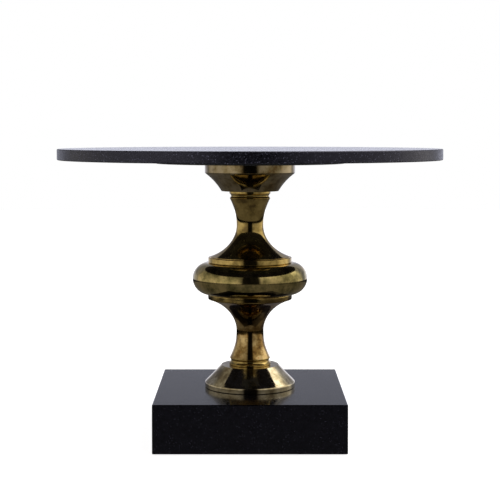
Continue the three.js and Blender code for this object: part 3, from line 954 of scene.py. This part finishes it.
@dataclass
class Column:
    """The turned brass column. Sizes in millimetres, heights from each piece's own seat."""

    shop: Workshop
    spigot: float = 4.0  # length of every centring spigot
    recess_depth: float = 4.5
    spigot_fit: float = 0.3
    neck_spigot: float = 20.0
    band_spigot: float = 40.0
    spigot_wall: float = 4.5
    bore: float = 13.0
    core: float = 26.0
    web: float = 9.0
    neck: float = 45.0
    collar_slim: float = 31.8
    collar_bead: float = 3.5
    collar_slim_bead: float = 1.25
    collar_round: float = 0.8
    collar_channel: float = 2.0
    waist_radius: float = 21.3
    waist_from_neck: float = 42.8
    neck_radius: float = 31.5
    skirt_edge: float = 0.8
    skirt_handle: tuple[float, float] = (0.725, 0.21)
    waist_handles: tuple[float, float] = (0.69, 0.34)
    neck_handle: tuple[float, float] = (0.9, 0.44)
    band_round: float = 1.4
    band_bore: float = 25.0
    bulb_end: float = 67.0
    bulb_wall: float = 5.0
    lip_height: float = 2.0
    lip_wall: float = 2.2
    bulb_joint_round: float = 0.12
    bulb_joint_angle: float = 2.0  # degrees by which the outer curve stops short of that rounding
    softness: float = 0.25  # rounding of an edge that was only broken with a file
    base_form: FlangeForm = FlangeForm(band=8.0, shoulder=4.0, foot=1.0, hollow=0.4, worn=3.0)
    top_form: FlangeForm = FlangeForm(band=14.5, shoulder=2.0, foot=0.5, hollow=2.5, worn=1.8)
    cove_steps: int = 24
    channel_steps: int = 16
    skirt_steps: int = 48
    neck_steps: int = 28
    bulb_steps: int = 40
    hollow_steps: int = 24

    def _flange(self, radius: float, tall: float, form: FlangeForm) -> Outline:
        """The outline of a flange: upright band, bevelled shoulder, hollow cove, recessed neck, cored inside.

        Args:
            radius: Radius of the band.
            tall: Height from the seat to the neck.
            form: The sizes of this flange.

        Returns:
            The outline, with its seat at height 0.
        """
        recess = self.neck_spigot + self.spigot_fit
        edge, start = radius - form.shoulder, form.band + form.shoulder
        handle = ((edge + self.neck) / 2 - form.hollow, (start + tall) / 2 - form.hollow)
        return (
            Outline()
            .to(self.core, 0, self.softness)
            .to(radius, 0, form.foot)
            .to(radius, form.band, form.worn)
            .to(edge, start, form.worn / 2)
            .along(bezier([(edge, start), handle, (self.neck, tall)], self.cove_steps))
            .to(recess, tall, self.softness)
            .to(recess, tall - self.recess_depth)
            .to(self.bore, tall - self.recess_depth)
            .to(self.bore, tall - self.web)
            .to(self.core, tall - self.web)
        )

    def build_flanges(self) -> None:
        """Makes both flanges. The top one is turned over and has the higher band."""
        low, high = span("base_flange")
        outline = self._flange(high[0], high[2] - low[2], self.base_form)
        self.shop.turned("base_flange", outline, Coat.PALE_BRASS)
        low, high = span("top_flange")
        outline = self._flange(high[0], high[2] - low[2], self.top_form)
        self.shop.turned("top_flange", outline, Coat.GREY_BRASS, over=True)

    def build_collars(self) -> None:
        """Makes both collars: a bead by the flange, a slimmer one by the spindle, a channel between."""
        for node in ("lower_collar", "upper_collar"):
            low, high = span(node)
            radius, slim, tall = high[0], self.collar_slim, high[2] - low[2] - 2 * self.spigot
            inside, slim_foot = self.neck_spigot - self.spigot_wall, tall - self.collar_slim_bead
            handle = (slim - 2 * self.collar_channel, (self.collar_bead + slim_foot) / 2)
            channel = bezier([(radius, self.collar_bead), handle, (slim, slim_foot)], self.channel_steps)
            outline = (
                Outline()
                .to(inside, -self.spigot, self.softness)
                .to(self.neck_spigot, -self.spigot, self.softness)
                .to(self.neck_spigot, 0)
                .to(radius, 0, self.collar_round)
                .to(radius, self.collar_bead, self.softness)
                .along(channel[:-1])
                .to(slim, slim_foot, self.softness)
                .to(slim, tall, self.collar_round)
                .to(self.neck_spigot, tall)
                .to(self.neck_spigot, tall + self.spigot, self.softness)
                .to(inside, tall + self.spigot, self.softness)
            )
            self.shop.turned(node, outline, Coat.GOLD_BRASS, over=node == "upper_collar", seat=self.spigot)

    def build_spindles(self) -> None:
        """Makes both spindles: a wide skirt, a waist and a flared neck. The lower one stands on its neck."""
        slim, above = self.waist_radius, self.waist_from_neck
        skirt_recess, neck_recess = self.band_spigot + self.spigot_fit, self.neck_spigot + self.spigot_fit
        for node, coat in (("lower_spindle", Coat.COPPERY_BRASS), ("upper_spindle", Coat.GOLD_BRASS)):
            low, high = span(node)
            skirt, tall, edge = high[0], high[2] - low[2], self.skirt_edge
            waist = tall - above
            skirt_handle = (
                skirt - self.skirt_handle[0] * (skirt - slim), edge + self.skirt_handle[1] * waist
            )
            neck_handle = (
                self.neck_radius - self.neck_handle[0] * (self.neck_radius - slim),
                tall - self.neck_handle[1] * above,
            )
            below_waist, above_waist = self.waist_handles[0] * waist, waist + self.waist_handles[1] * above
            wide = [(skirt, edge), skirt_handle, (slim, below_waist), (slim, waist)]
            flared = [(slim, waist), (slim, above_waist), neck_handle, (self.neck_radius, tall)]
            outline = (
                Outline()
                .to(skirt_recess, 0)
                .to(skirt, 0, self.softness)
                .to(skirt, edge)
                .along(bezier(wide, self.skirt_steps))
                .along(bezier(flared, self.neck_steps))
                .to(neck_recess, tall)
                .to(neck_recess, tall - self.recess_depth)
                .to(self.bore, tall - self.recess_depth)
                .to(self.bore, self.recess_depth)
                .to(skirt_recess, self.recess_depth)
            )
            self.shop.turned(node, outline, coat, over=node == "lower_spindle")

    def build_bands(self) -> None:
        """Makes both flat bands, with rounded edges and a spigot ring on each face."""
        for node in ("lower_band", "upper_band"):
            low, high = span(node)
            radius, tall = high[0], high[2] - low[2] - 2 * self.spigot
            inside = self.band_spigot - self.spigot_wall
            outline = (
                Outline()
                .to(self.band_bore, 0)
                .to(inside, 0)
                .to(inside, -self.spigot, self.softness)
                .to(self.band_spigot, -self.spigot, self.softness)
                .to(self.band_spigot, 0)
                .to(radius, 0, self.band_round)
                .to(radius, tall, self.band_round)
                .to(self.band_spigot, tall)
                .to(self.band_spigot, tall + self.spigot, self.softness)
                .to(inside, tall + self.spigot, self.softness)
                .to(inside, tall)
                .to(self.band_bore, tall)
            )
            self.shop.turned(node, outline, Coat.GOLD_BRASS, seat=self.spigot)

    def build_bulb(self) -> None:
        """Makes the hollow bulb: two cups of quarter ellipses. A lip in the lower one centres the upper."""
        for node in ("bulb_lower_half", "bulb_upper_half"):
            low, high = span(node)
            lipped = node == "bulb_lower_half"
            tall = high[2] - low[2] - (self.lip_height if lipped else 0)
            radius, hole = high[0], self.band_spigot + self.spigot_fit
            bulge, rim = radius - self.bulb_end, radius - self.bulb_wall
            middle_of_joint = (self.bulb_end, tall)
            outline = (
                Outline()
                .to(hole, 0, self.softness)
                .to(self.bulb_end, 0)
                .along(ellipse(middle_of_joint, (bulge, tall), -90, -self.bulb_joint_angle, self.bulb_steps))
                .to(radius, tall, self.bulb_joint_round)
            )
            inner = (bulge - self.bulb_wall, tall - self.bulb_wall)
            if lipped:
                lip = rim + self.lip_wall
                top = tall + self.lip_height
                outline.to(lip, tall).to(lip, top, self.softness).to(rim, top)
                outline.to(rim, tall).along(ellipse(middle_of_joint, inner, 0, -90, self.hollow_steps))
            else:
                rebate = rim + self.lip_wall + self.spigot_fit
                deep = self.lip_height + self.recess_depth - self.spigot
                start = -math.degrees(math.asin(deep / inner[1]))
                wall = ellipse(middle_of_joint, inner, start, -90, self.hollow_steps)
                outline.to(rebate, tall).to(rebate, tall - deep).to(*wall[0]).along(wall)
            outline.to(hole, self.bulb_wall)
            self.shop.turned(node, outline, Coat.OLIVE_BRASS, over=not lipped)


@dataclass
class Clamp:
    """The steel plate, its hub, and the rod, nut and washers that hold the stack together. Millimetres."""

    shop: Workshop
    plate_arris: float = 0.6
    screw_hole: float = 3.4
    screw_head: float = 6.0
    screw_head_land: float = 0.3
    hub_radius: float = 16.0
    thread_fit: float = 0.2
    rod_radius: float = 6.0
    thread_pitch: float = 1.75
    thread_depth: float = 1.0
    thread_rows: int = 6
    thread_segments: int = 24
    end_chamfer: float = 1.0
    washer_hole: float = 6.5
    split: float = 1.5
    nut_across_flats: float = 19.0
    nut_corner_chamfer: float = 1.0
    nut_bore_chamfer: float = 0.8
    nut_land: float = 0.2  # from the cone's end to the first ring that is a whole hexagon
    hub_edge: float = 0.6
    hub_bore_edge: float = 0.4
    weld_hollow: float = 0.3
    weld_steps: int = 8
    washer_hole_edge: float = 0.2
    washer_lower_edge: float = 0.5
    washer_upper_edge: float = 0.4
    spring_edge: float = 0.3

    def build_plate(self, screw_places: list[np.ndarray]) -> None:
        """Makes the round plate with its screw holes.

        Args:
            screw_places: The middles of the screws.
        """
        low, high = span("support_plate")
        radius, tall = high[0], high[2] - low[2]
        outline = (
            Outline()
            .to(0, 0)
            .to(radius, 0, self.plate_arris)
            .to(radius, tall, self.plate_arris)
            .to(0, tall)
            .points(low[2])
        )
        sink, land, fit = self.screw_head, self.screw_head_land, self.screw_hole
        cone = [[sink, land], [fit, land + sink - fit]]
        hole = np.array([[0, -1], [sink, -1], *cone, [fit, tall + 1], [0, tall + 1]]) + [0, low[2]]
        tools = [revolve("hole", hole, HARDWARE_SEGMENTS, (place[0], place[1])) for place in screw_places]
        plate = drill(revolve("support_plate", outline, STONE_SEGMENTS), tools)
        self.shop.piece(plate, "support_plate", Coat.BLACK_STEEL)

    def build_hub(self) -> None:
        """Makes the hub under the plate, with a hollow fillet of weld round its top."""
        low, high = span("rod_hub")
        bore, tall = self.rod_radius + self.thread_fit, high[2] - low[2]
        weld = high[0] - self.hub_radius
        handle = (self.hub_radius + self.weld_hollow, tall - self.weld_hollow)
        bead = bezier([(self.hub_radius, tall - weld), handle, (high[0], tall)], self.weld_steps)
        outline = Outline().to(bore, 0, self.hub_bore_edge).to(self.hub_radius, 0, self.hub_edge)
        outline.to(*bead[0]).along(bead).to(bore, tall)
        mesh = revolve("rod_hub", outline.points(low[2]), HARDWARE_SEGMENTS)
        self.shop.piece(mesh, "rod_hub", Coat.BLACK_STEEL)

    def build_rod(self) -> None:
        """Makes the threaded rod as one grid with the thread in its radius. Both ends taper to a chamfer."""
        low, high = span("tie_rod")
        tall = high[2] - low[2]
        rows = int(tall / self.thread_pitch * self.thread_rows)
        height, turn = np.linspace(0, tall, rows + 1)[:, None], full_turn(self.thread_segments)
        cut = self.thread_depth * thread_groove(height, turn, self.thread_pitch)
        taper = np.minimum(height, tall - height).clip(0, self.end_chamfer) - self.end_chamfer
        rings = around(np.minimum(self.rod_radius - cut, self.rod_radius + taper), turn, height + low[2])
        self.shop.piece(skin("tie_rod", rings, looped=False), "tie_rod", Coat.ZINC_STEEL)

    def build_washers(self) -> None:
        """Makes the flat washer, and the spring washer as a bar bent round the rod to a split."""
        low, high = span("rod_washer")
        tall = high[2] - low[2]
        outline = (
            Outline()
            .to(self.washer_hole, 0, self.washer_hole_edge)
            .to(high[0], 0, self.washer_lower_edge)
            .to(high[0], tall, self.washer_upper_edge)
            .to(self.washer_hole, tall, self.washer_hole_edge)
        )
        mesh = revolve("rod_washer", outline.points(low[2]), HARDWARE_SEGMENTS)
        self.shop.piece(mesh, "rod_washer", Coat.ZINC_STEEL)

        low, high = span("spring_washer")
        tall, outer, soft = high[2] - low[2], high[1], self.spring_edge
        bar = (
            Outline()
            .to(self.washer_hole, 0, soft)
            .to(outer, 0, soft)
            .to(outer, tall, soft)
            .to(self.washer_hole, tall, soft)
            .points(low[2])
        )
        gap = self.split / 2 / outer
        turn = np.linspace(FULL_TURN - gap, gap, HARDWARE_SEGMENTS + 1)[:, None]
        rings = around(bar[None, :, 0], turn, bar[None, :, 1])
        self.shop.piece(skin("spring_washer", rings, looped=False), "spring_washer", Coat.ZINC_STEEL)

    def build_nut(self) -> None:
        """Makes the nut: at each height the smaller of the hexagon's radius and the chamfering cone's."""
        low, high = span("rod_nut")
        tall, bore = high[2] - low[2], self.rod_radius + self.thread_fit
        corner = self.nut_across_flats / 2 / math.cos(math.pi / 6)
        bevel, rise = self.nut_corner_chamfer, self.nut_corner_chamfer / 2
        turn = full_turn(HARDWARE_SEGMENTS * 2)
        climb = np.append(np.linspace(0, rise, ROUND_STEPS + 1), rise + self.nut_land)
        height = np.concatenate([climb, tall - climb[::-1]])[:, None]
        cone = corner - bevel + np.minimum(height, tall - height) / rise * bevel
        outside = np.minimum(hexagon_radius(turn, self.nut_across_flats)[None, :], cone)
        chamfer = self.nut_bore_chamfer
        inside_height = np.array([tall, tall - chamfer, chamfer, 0])[:, None]
        inside = np.array([bore + chamfer, bore, bore, bore + chamfer])[:, None] + 0 * turn
        rings = around(np.vstack([outside, inside]), turn, np.vstack([height, inside_height]) + low[2])
        self.shop.piece(skin("rod_nut", rings, looped=True), "rod_nut", Coat.ZINC_STEEL)


@dataclass
class Fixings:
    """The screws that hold the plate to the disc, their inserts, and the feet. Millimetres."""

    shop: Workshop
    count: int = 4
    shank: float = 3.0
    head_land: float = 0.3
    key_across_flats: float = 4.0
    key_depth: float = 2.0
    point_chamfer: float = 0.5
    thread_pitch: float = 1.0
    thread_depth: float = 0.55
    thread_rows: int = 6
    head_edge: float = 0.1
    key_flare: float = 1.04  # how much wider the socket's mouth is than the socket
    key_point: float = 0.6  # how deep the drill's cone goes below the socket
    insert_bore: float = 3.3
    insert_edge: float = 0.3
    insert_grooves: tuple[float, ...] = (2.5, 5.0, 7.5)  # heights where the grooves start
    groove_depth: float = 0.5
    groove_slope: float = 0.3
    groove_width: float = 1.0  # from the start of one slope to the start of the other
    foot_round: float = 0.4
    foot_edge: float = 0.2
    foot_ring: tuple[float, float, float, float] = (0.6, 0.64, 0.76, 0.8)  # shares of the foot's radius
    foot_ring_depth: float = 0.4

    def places(self) -> list[np.ndarray]:
        """The middles of the screws, from the CAD nodes."""
        return [middle(f"plate_screw_{i + 1}") for i in range(self.count)]

    def build_screws(self) -> None:
        """Makes the countersunk screws as one grid from the point, over the head, into the hexagon socket."""
        turn = full_turn(HARDWARE_SEGMENTS)
        key, edge = hexagon_radius(turn, self.key_across_flats), self.head_edge
        for i, place in enumerate(self.places()):
            node = f"plate_screw_{i + 1}"
            low, high = span(node)
            head, tall = (high[0] - low[0]) / 2, high[2] - low[2]
            neck_height = self.head_land + head - self.shank
            rows = int((tall - neck_height) / self.thread_pitch * self.thread_rows)
            thread = np.linspace(neck_height, tall, rows + 1)[::-1, None]
            cut = self.thread_depth * thread_groove(thread, turn, self.thread_pitch)
            taper = (tall - thread).clip(0, self.point_chamfer) - self.point_chamfer
            shank = np.minimum(self.shank - cut, self.shank + taper)
            radii = [0, *shank, head, head, head - edge, key * self.key_flare, key, key, 0]
            heights = [tall, *thread[:, 0], self.head_land, edge, 0, 0, edge, self.key_depth]
            heights.append(self.key_depth + self.key_point)
            rings = [
                around(radius + 0 * turn, turn, low[2] + height, (place[0], place[1]))
                for radius, height in zip(radii, heights)
            ]
            self.shop.piece(skin(node, np.array(rings[::-1]), looped=False), node, Coat.ZINC_STEEL)

    def build_inserts(self) -> None:
        """Makes the threaded inserts: grooved sleeves bonded into the disc."""
        soft, slope = self.insert_edge, self.groove_slope
        for i, place in enumerate(self.places()):
            node = f"screw_insert_{i + 1}"
            low, high = span(node)
            radius, tall = (high[0] - low[0]) / 2, high[2] - low[2]
            outline = Outline().to(self.insert_bore, 0, soft).to(radius, 0, soft)
            for start in self.insert_grooves:
                root, end = radius - self.groove_depth, start + self.groove_width
                outline.to(radius, start).to(root, start + slope).to(root, end).to(radius, end + slope)
            outline.to(radius, tall, soft).to(self.insert_bore, tall, soft)
            mesh = revolve(node, outline.points(low[2]), HARDWARE_SEGMENTS, (place[0], place[1]))
            self.shop.piece(mesh, node, Coat.INSERT_BRASS)

    def build_feet(self) -> None:
        """Makes the rubber feet: low discs with a rounded rim and a shallow ring in the underside."""
        for i in range(self.count):
            node = f"foot_pad_{i + 1}"
            low, high = span(node)
            place, soft, deep = middle(node), self.foot_edge, self.foot_ring_depth
            radius, tall = (high[0] - low[0]) / 2, high[2] - low[2]
            ring = [share * radius for share in self.foot_ring]
            outline = (
                Outline()
                .to(0, 0)
                .to(ring[0], 0, soft)
                .to(ring[1], deep, soft)
                .to(ring[2], deep, soft)
                .to(ring[3], 0, soft)
                .to(radius, 0, self.foot_round)
                .to(radius, tall, soft)
                .to(0, tall)
            )
            mesh = revolve(node, outline.points(low[2]), HARDWARE_SEGMENTS * 2, (place[0], place[1]))
            self.shop.piece(mesh, node, Coat.RUBBER)


# --------------------------------------------------------------------------------------------------
# The studio

Panels = tuple[tuple[float, float, str], ...]
Stops = tuple[tuple[float, float], ...]


@dataclass
class Studio:
    """A white room with two rows of soft panels beside a dark gap behind the camera, and a pale floor."""

    camera_place: tuple[float, float, float] = (0.0, -2.0233, 0.4746)
    camera_pitch: float = 2.535
    sensor: float = 36.0
    lens: float = 92.82
    shift: float = -0.12
    sight: float = 50.0  # metres
    # Azimuth from the camera's side in degrees, luminance, and tint of the light
    left_panels: Panels = (
        (0, 0.005, "ffffff"),
        (15, 0.01, "ffffff"),
        (20, 0.38, "fffaf2"),
        (28, 0.6, "fffaf2"),
        (56, 0.72, "fffaf2"),
        (80, 0.58, "fffaf2"),
        (112, 0.56, "fffaf2"),
        (126, 0.5, "fffaf2"),
        (131, 0.3, "ffffff"),
        (138, 0.4, "e4e6f6"),
        (163, 0.55, "e4e6f6"),
        (172, 0.68, "e4e6f6"),
    )
    right_panels: Panels = (
        (0, 0.005, "ffffff"),
        (17, 0.01, "ffffff"),
        (24, 0.3, "fffaf2"),
        (40, 0.4, "fffaf2"),
        (78, 0.46, "fffaf2"),
        (98, 0.75, "fffaf2"),
        (122, 1.0, "fffaf2"),
        (128, 0.8, "fffaf2"),
        (133, 0.45, "ffffff"),
        (140, 0.45, "e4e6f6"),
        (158, 0.85, "e4e6f6"),
        (172, 0.68, "e4e6f6"),
    )
    # Sine of the elevation, and what the luminance is multiplied by there, over the world's strength
    left_rise: Stops = ((-0.125, 0.0), (-0.11, 0.4), (0.05, 0.4), (0.3, 0.32), (0.9, 0.16))
    right_rise: Stops = ((-0.125, 0.0), (-0.11, 0.4), (0.05, 0.4), (0.4, 0.6), (0.75, 0.85))
    rear_rise: Stops = ((-0.125, 0.0), (-0.11, 0.66), (0.06, 0.66), (0.15, 0.25), (0.9, 0.16))
    rear_from: float = 132.0  # azimuth where the rear's rise begins to take over
    rear_full: float = 150.0
    strength: float = 2.5
    floor_reflection: str = "646260"
    floor_sines: tuple[float, float] = (-0.18, -0.17)  # what pieces reflect of the floor ends between these
    floor_radius: float = 6000.0
    floor_thickness: float = 20.0
    floor_colour: str = "f4f4f4"
    floor_glow: float = 0.88
    floor_roughness: float = 0.9

    def set_camera(self) -> None:
        """Places the camera level with the disc, looking slightly down, with the frame shifted down."""
        data = bpy.data.cameras.new("camera")
        data.sensor_width = self.sensor
        data.lens = self.lens
        data.shift_y = self.shift
        data.clip_end = self.sight
        camera = bpy.data.objects.new("camera", data)
        camera.location = self.camera_place
        camera.rotation_euler = (math.radians(90 - self.camera_pitch), 0.0, 0.0)
        bpy.context.scene.collection.objects.link(camera)
        bpy.context.scene.camera = camera

    def _panels(self, tree: bpy.types.NodeTree, azimuth: Any, panels: Panels) -> Any:
        """A ramp over azimuth that holds each luminance times its tint.

        Args:
            tree: The world's node tree.
            azimuth: The output that runs from 0 behind the camera to 1 opposite it.
            panels: Azimuth in degrees, luminance and tint.

        Returns:
            The ramp's colour output.
        """
        colours = []
        for degrees, luminance, tint in panels:
            red, green, blue, _ = linear(tint)
            colours.append((degrees / 180, (red * luminance, green * luminance, blue * luminance, 1.0)))
        return set_stops(add_node(tree, "ValToRGB", ("Fac", azimuth)), colours)

    def light(self) -> None:
        """Makes the world: plain white to the camera, and the studio's panels to every other ray."""
        world = bpy.data.worlds.new("studio")
        world.use_nodes = True
        bpy.context.scene.world = world
        tree = world.node_tree
        tree.nodes.clear()
        direction = add_node(tree, "TexCoord").outputs["Generated"]
        axes = add_node(tree, "SeparateXYZ", ("Vector", direction))
        across = add_node(tree, "Math", (0, axes.outputs["X"]), operation="ABSOLUTE")
        back = add_node(tree, "Math", (0, axes.outputs["Y"]), (1, -1.0), operation="MULTIPLY")
        bearing = add_node(tree, "Math", (0, across.outputs[0]), (1, back.outputs[0]), operation="ARCTAN2")
        azimuth = add_node(tree, "Math", (0, bearing.outputs[0]), (1, 1 / math.pi), operation="MULTIPLY")
        to_right = add_node(tree, "Math", (0, axes.outputs["X"]), (1, 0.0), operation="GREATER_THAN")
        panels = add_node(
            tree, "Mix", ("Factor", to_right.outputs[0]),
            (6, self._panels(tree, azimuth.outputs[0], self.left_panels)),
            (7, self._panels(tree, azimuth.outputs[0], self.right_panels)),
            data_type="RGBA",
        )
        # The height of a direction, as the sine of its elevation, from straight down to straight up.
        height = add_node(
            tree, "MapRange", ("Value", axes.outputs["Z"]), ("From Min", -1.0), ("From Max", 1.0)
        )
        rises = [
            set_stops(
                add_node(tree, "ValToRGB", ("Fac", height.outputs["Result"])),
                [(sine / 2 + 0.5, (level, level, level, 1.0)) for sine, level in rise],
            )
            for rise in (self.left_rise, self.right_rise, self.rear_rise)
        ]
        side_rise = add_node(
            tree, "Mix", ("Factor", to_right.outputs[0]), (6, rises[0]), (7, rises[1]), data_type="RGBA"
        )
        to_rear = add_node(
            tree, "MapRange", ("Value", azimuth.outputs[0]),
            ("From Min", self.rear_from / 180), ("From Max", self.rear_full / 180),
        )
        rise = add_node(
            tree, "Mix", ("Factor", to_rear.outputs["Result"]), (6, side_rise.outputs[2]), (7, rises[2]),
            data_type="RGBA",
        )
        upper = add_node(
            tree, "Mix", ("Factor", 1.0), (6, panels.outputs[2]), (7, rise.outputs[2]),
            data_type="RGBA", blend_type="MULTIPLY",
        )
        red, green, blue, _ = linear(self.floor_reflection)
        ground = (red / self.strength, green / self.strength, blue / self.strength, 1.0)
        dark = (0.0, 0.0, 0.0, 1.0)
        ground_end, dark_start = (sine / 2 + 0.5 for sine in self.floor_sines)
        lower = set_stops(
            add_node(tree, "ValToRGB", ("Fac", height.outputs["Result"])),
            [(0.0, ground), (ground_end, ground), (dark_start, dark), (1.0, dark)],
        )
        whole = add_node(
            tree, "Mix", ("Factor", 1.0), (6, upper.outputs[2]), (7, lower),
            data_type="RGBA", blend_type="ADD",
        )
        studio = add_node(tree, "Background", ("Color", whole.outputs[2]), ("Strength", self.strength))
        white = add_node(tree, "Background", ("Color", linear("ffffff")), ("Strength", 1.0))
        rays = add_node(tree, "LightPath")
        shown = add_node(
            tree, "MixShader", ("Fac", rays.outputs["Is Camera Ray"]),
            (1, studio.outputs[0]), (2, white.outputs[0]),
        )
        add_node(tree, "OutputWorld", ("Surface", shown.outputs[0]))

    def lay_floor(self) -> None:
        """Lays the pale floor, a wide disc whose own glow keeps all but the contact shadow white."""
        outline = np.array([[0, -1], [1, -1], [1, 0], [0, 0]]) * [self.floor_radius, self.floor_thickness]
        floor = bpy.data.objects.new("floor", revolve("floor", outline, HARDWARE_SEGMENTS))
        material = bpy.data.materials.new("pale_studio_floor")
        material.use_nodes = True
        shader = material.node_tree.nodes["Principled BSDF"]
        shader.inputs["Base Color"].default_value = linear(self.floor_colour)
        shader.inputs["Roughness"].default_value = self.floor_roughness
        shader.inputs["Specular IOR Level"].default_value = 0.0
        shader.inputs["Emission Color"].default_value = linear("ffffff")
        shader.inputs["Emission Strength"].default_value = self.floor_glow
        floor.data.materials.append(material)
        floor.visible_glossy = False
        bpy.context.scene.collection.objects.link(floor)


def main() -> None:
    """Builds the table and the studio."""
    logging.basicConfig(level=logging.INFO, format="%(message)s")
    shop = Workshop()
    fixings = Fixings(shop)
    places = fixings.places()
    stone = Stone(shop)
    stone.build_plinth()
    stone.build_top(places)
    column = Column(shop)
    column.build_flanges()
    column.build_collars()
    column.build_spindles()
    column.build_bands()
    column.build_bulb()
    clamp = Clamp(shop)
    clamp.build_plate(places)
    clamp.build_hub()
    clamp.build_rod()
    clamp.build_washers()
    clamp.build_nut()
    fixings.build_screws()
    fixings.build_inserts()
    fixings.build_feet()
    studio = Studio()
    studio.set_camera()
    studio.light()
    studio.lay_floor()
    bpy.context.scene.view_settings.view_transform = "Standard"


if __name__ == "__main__":
    main()
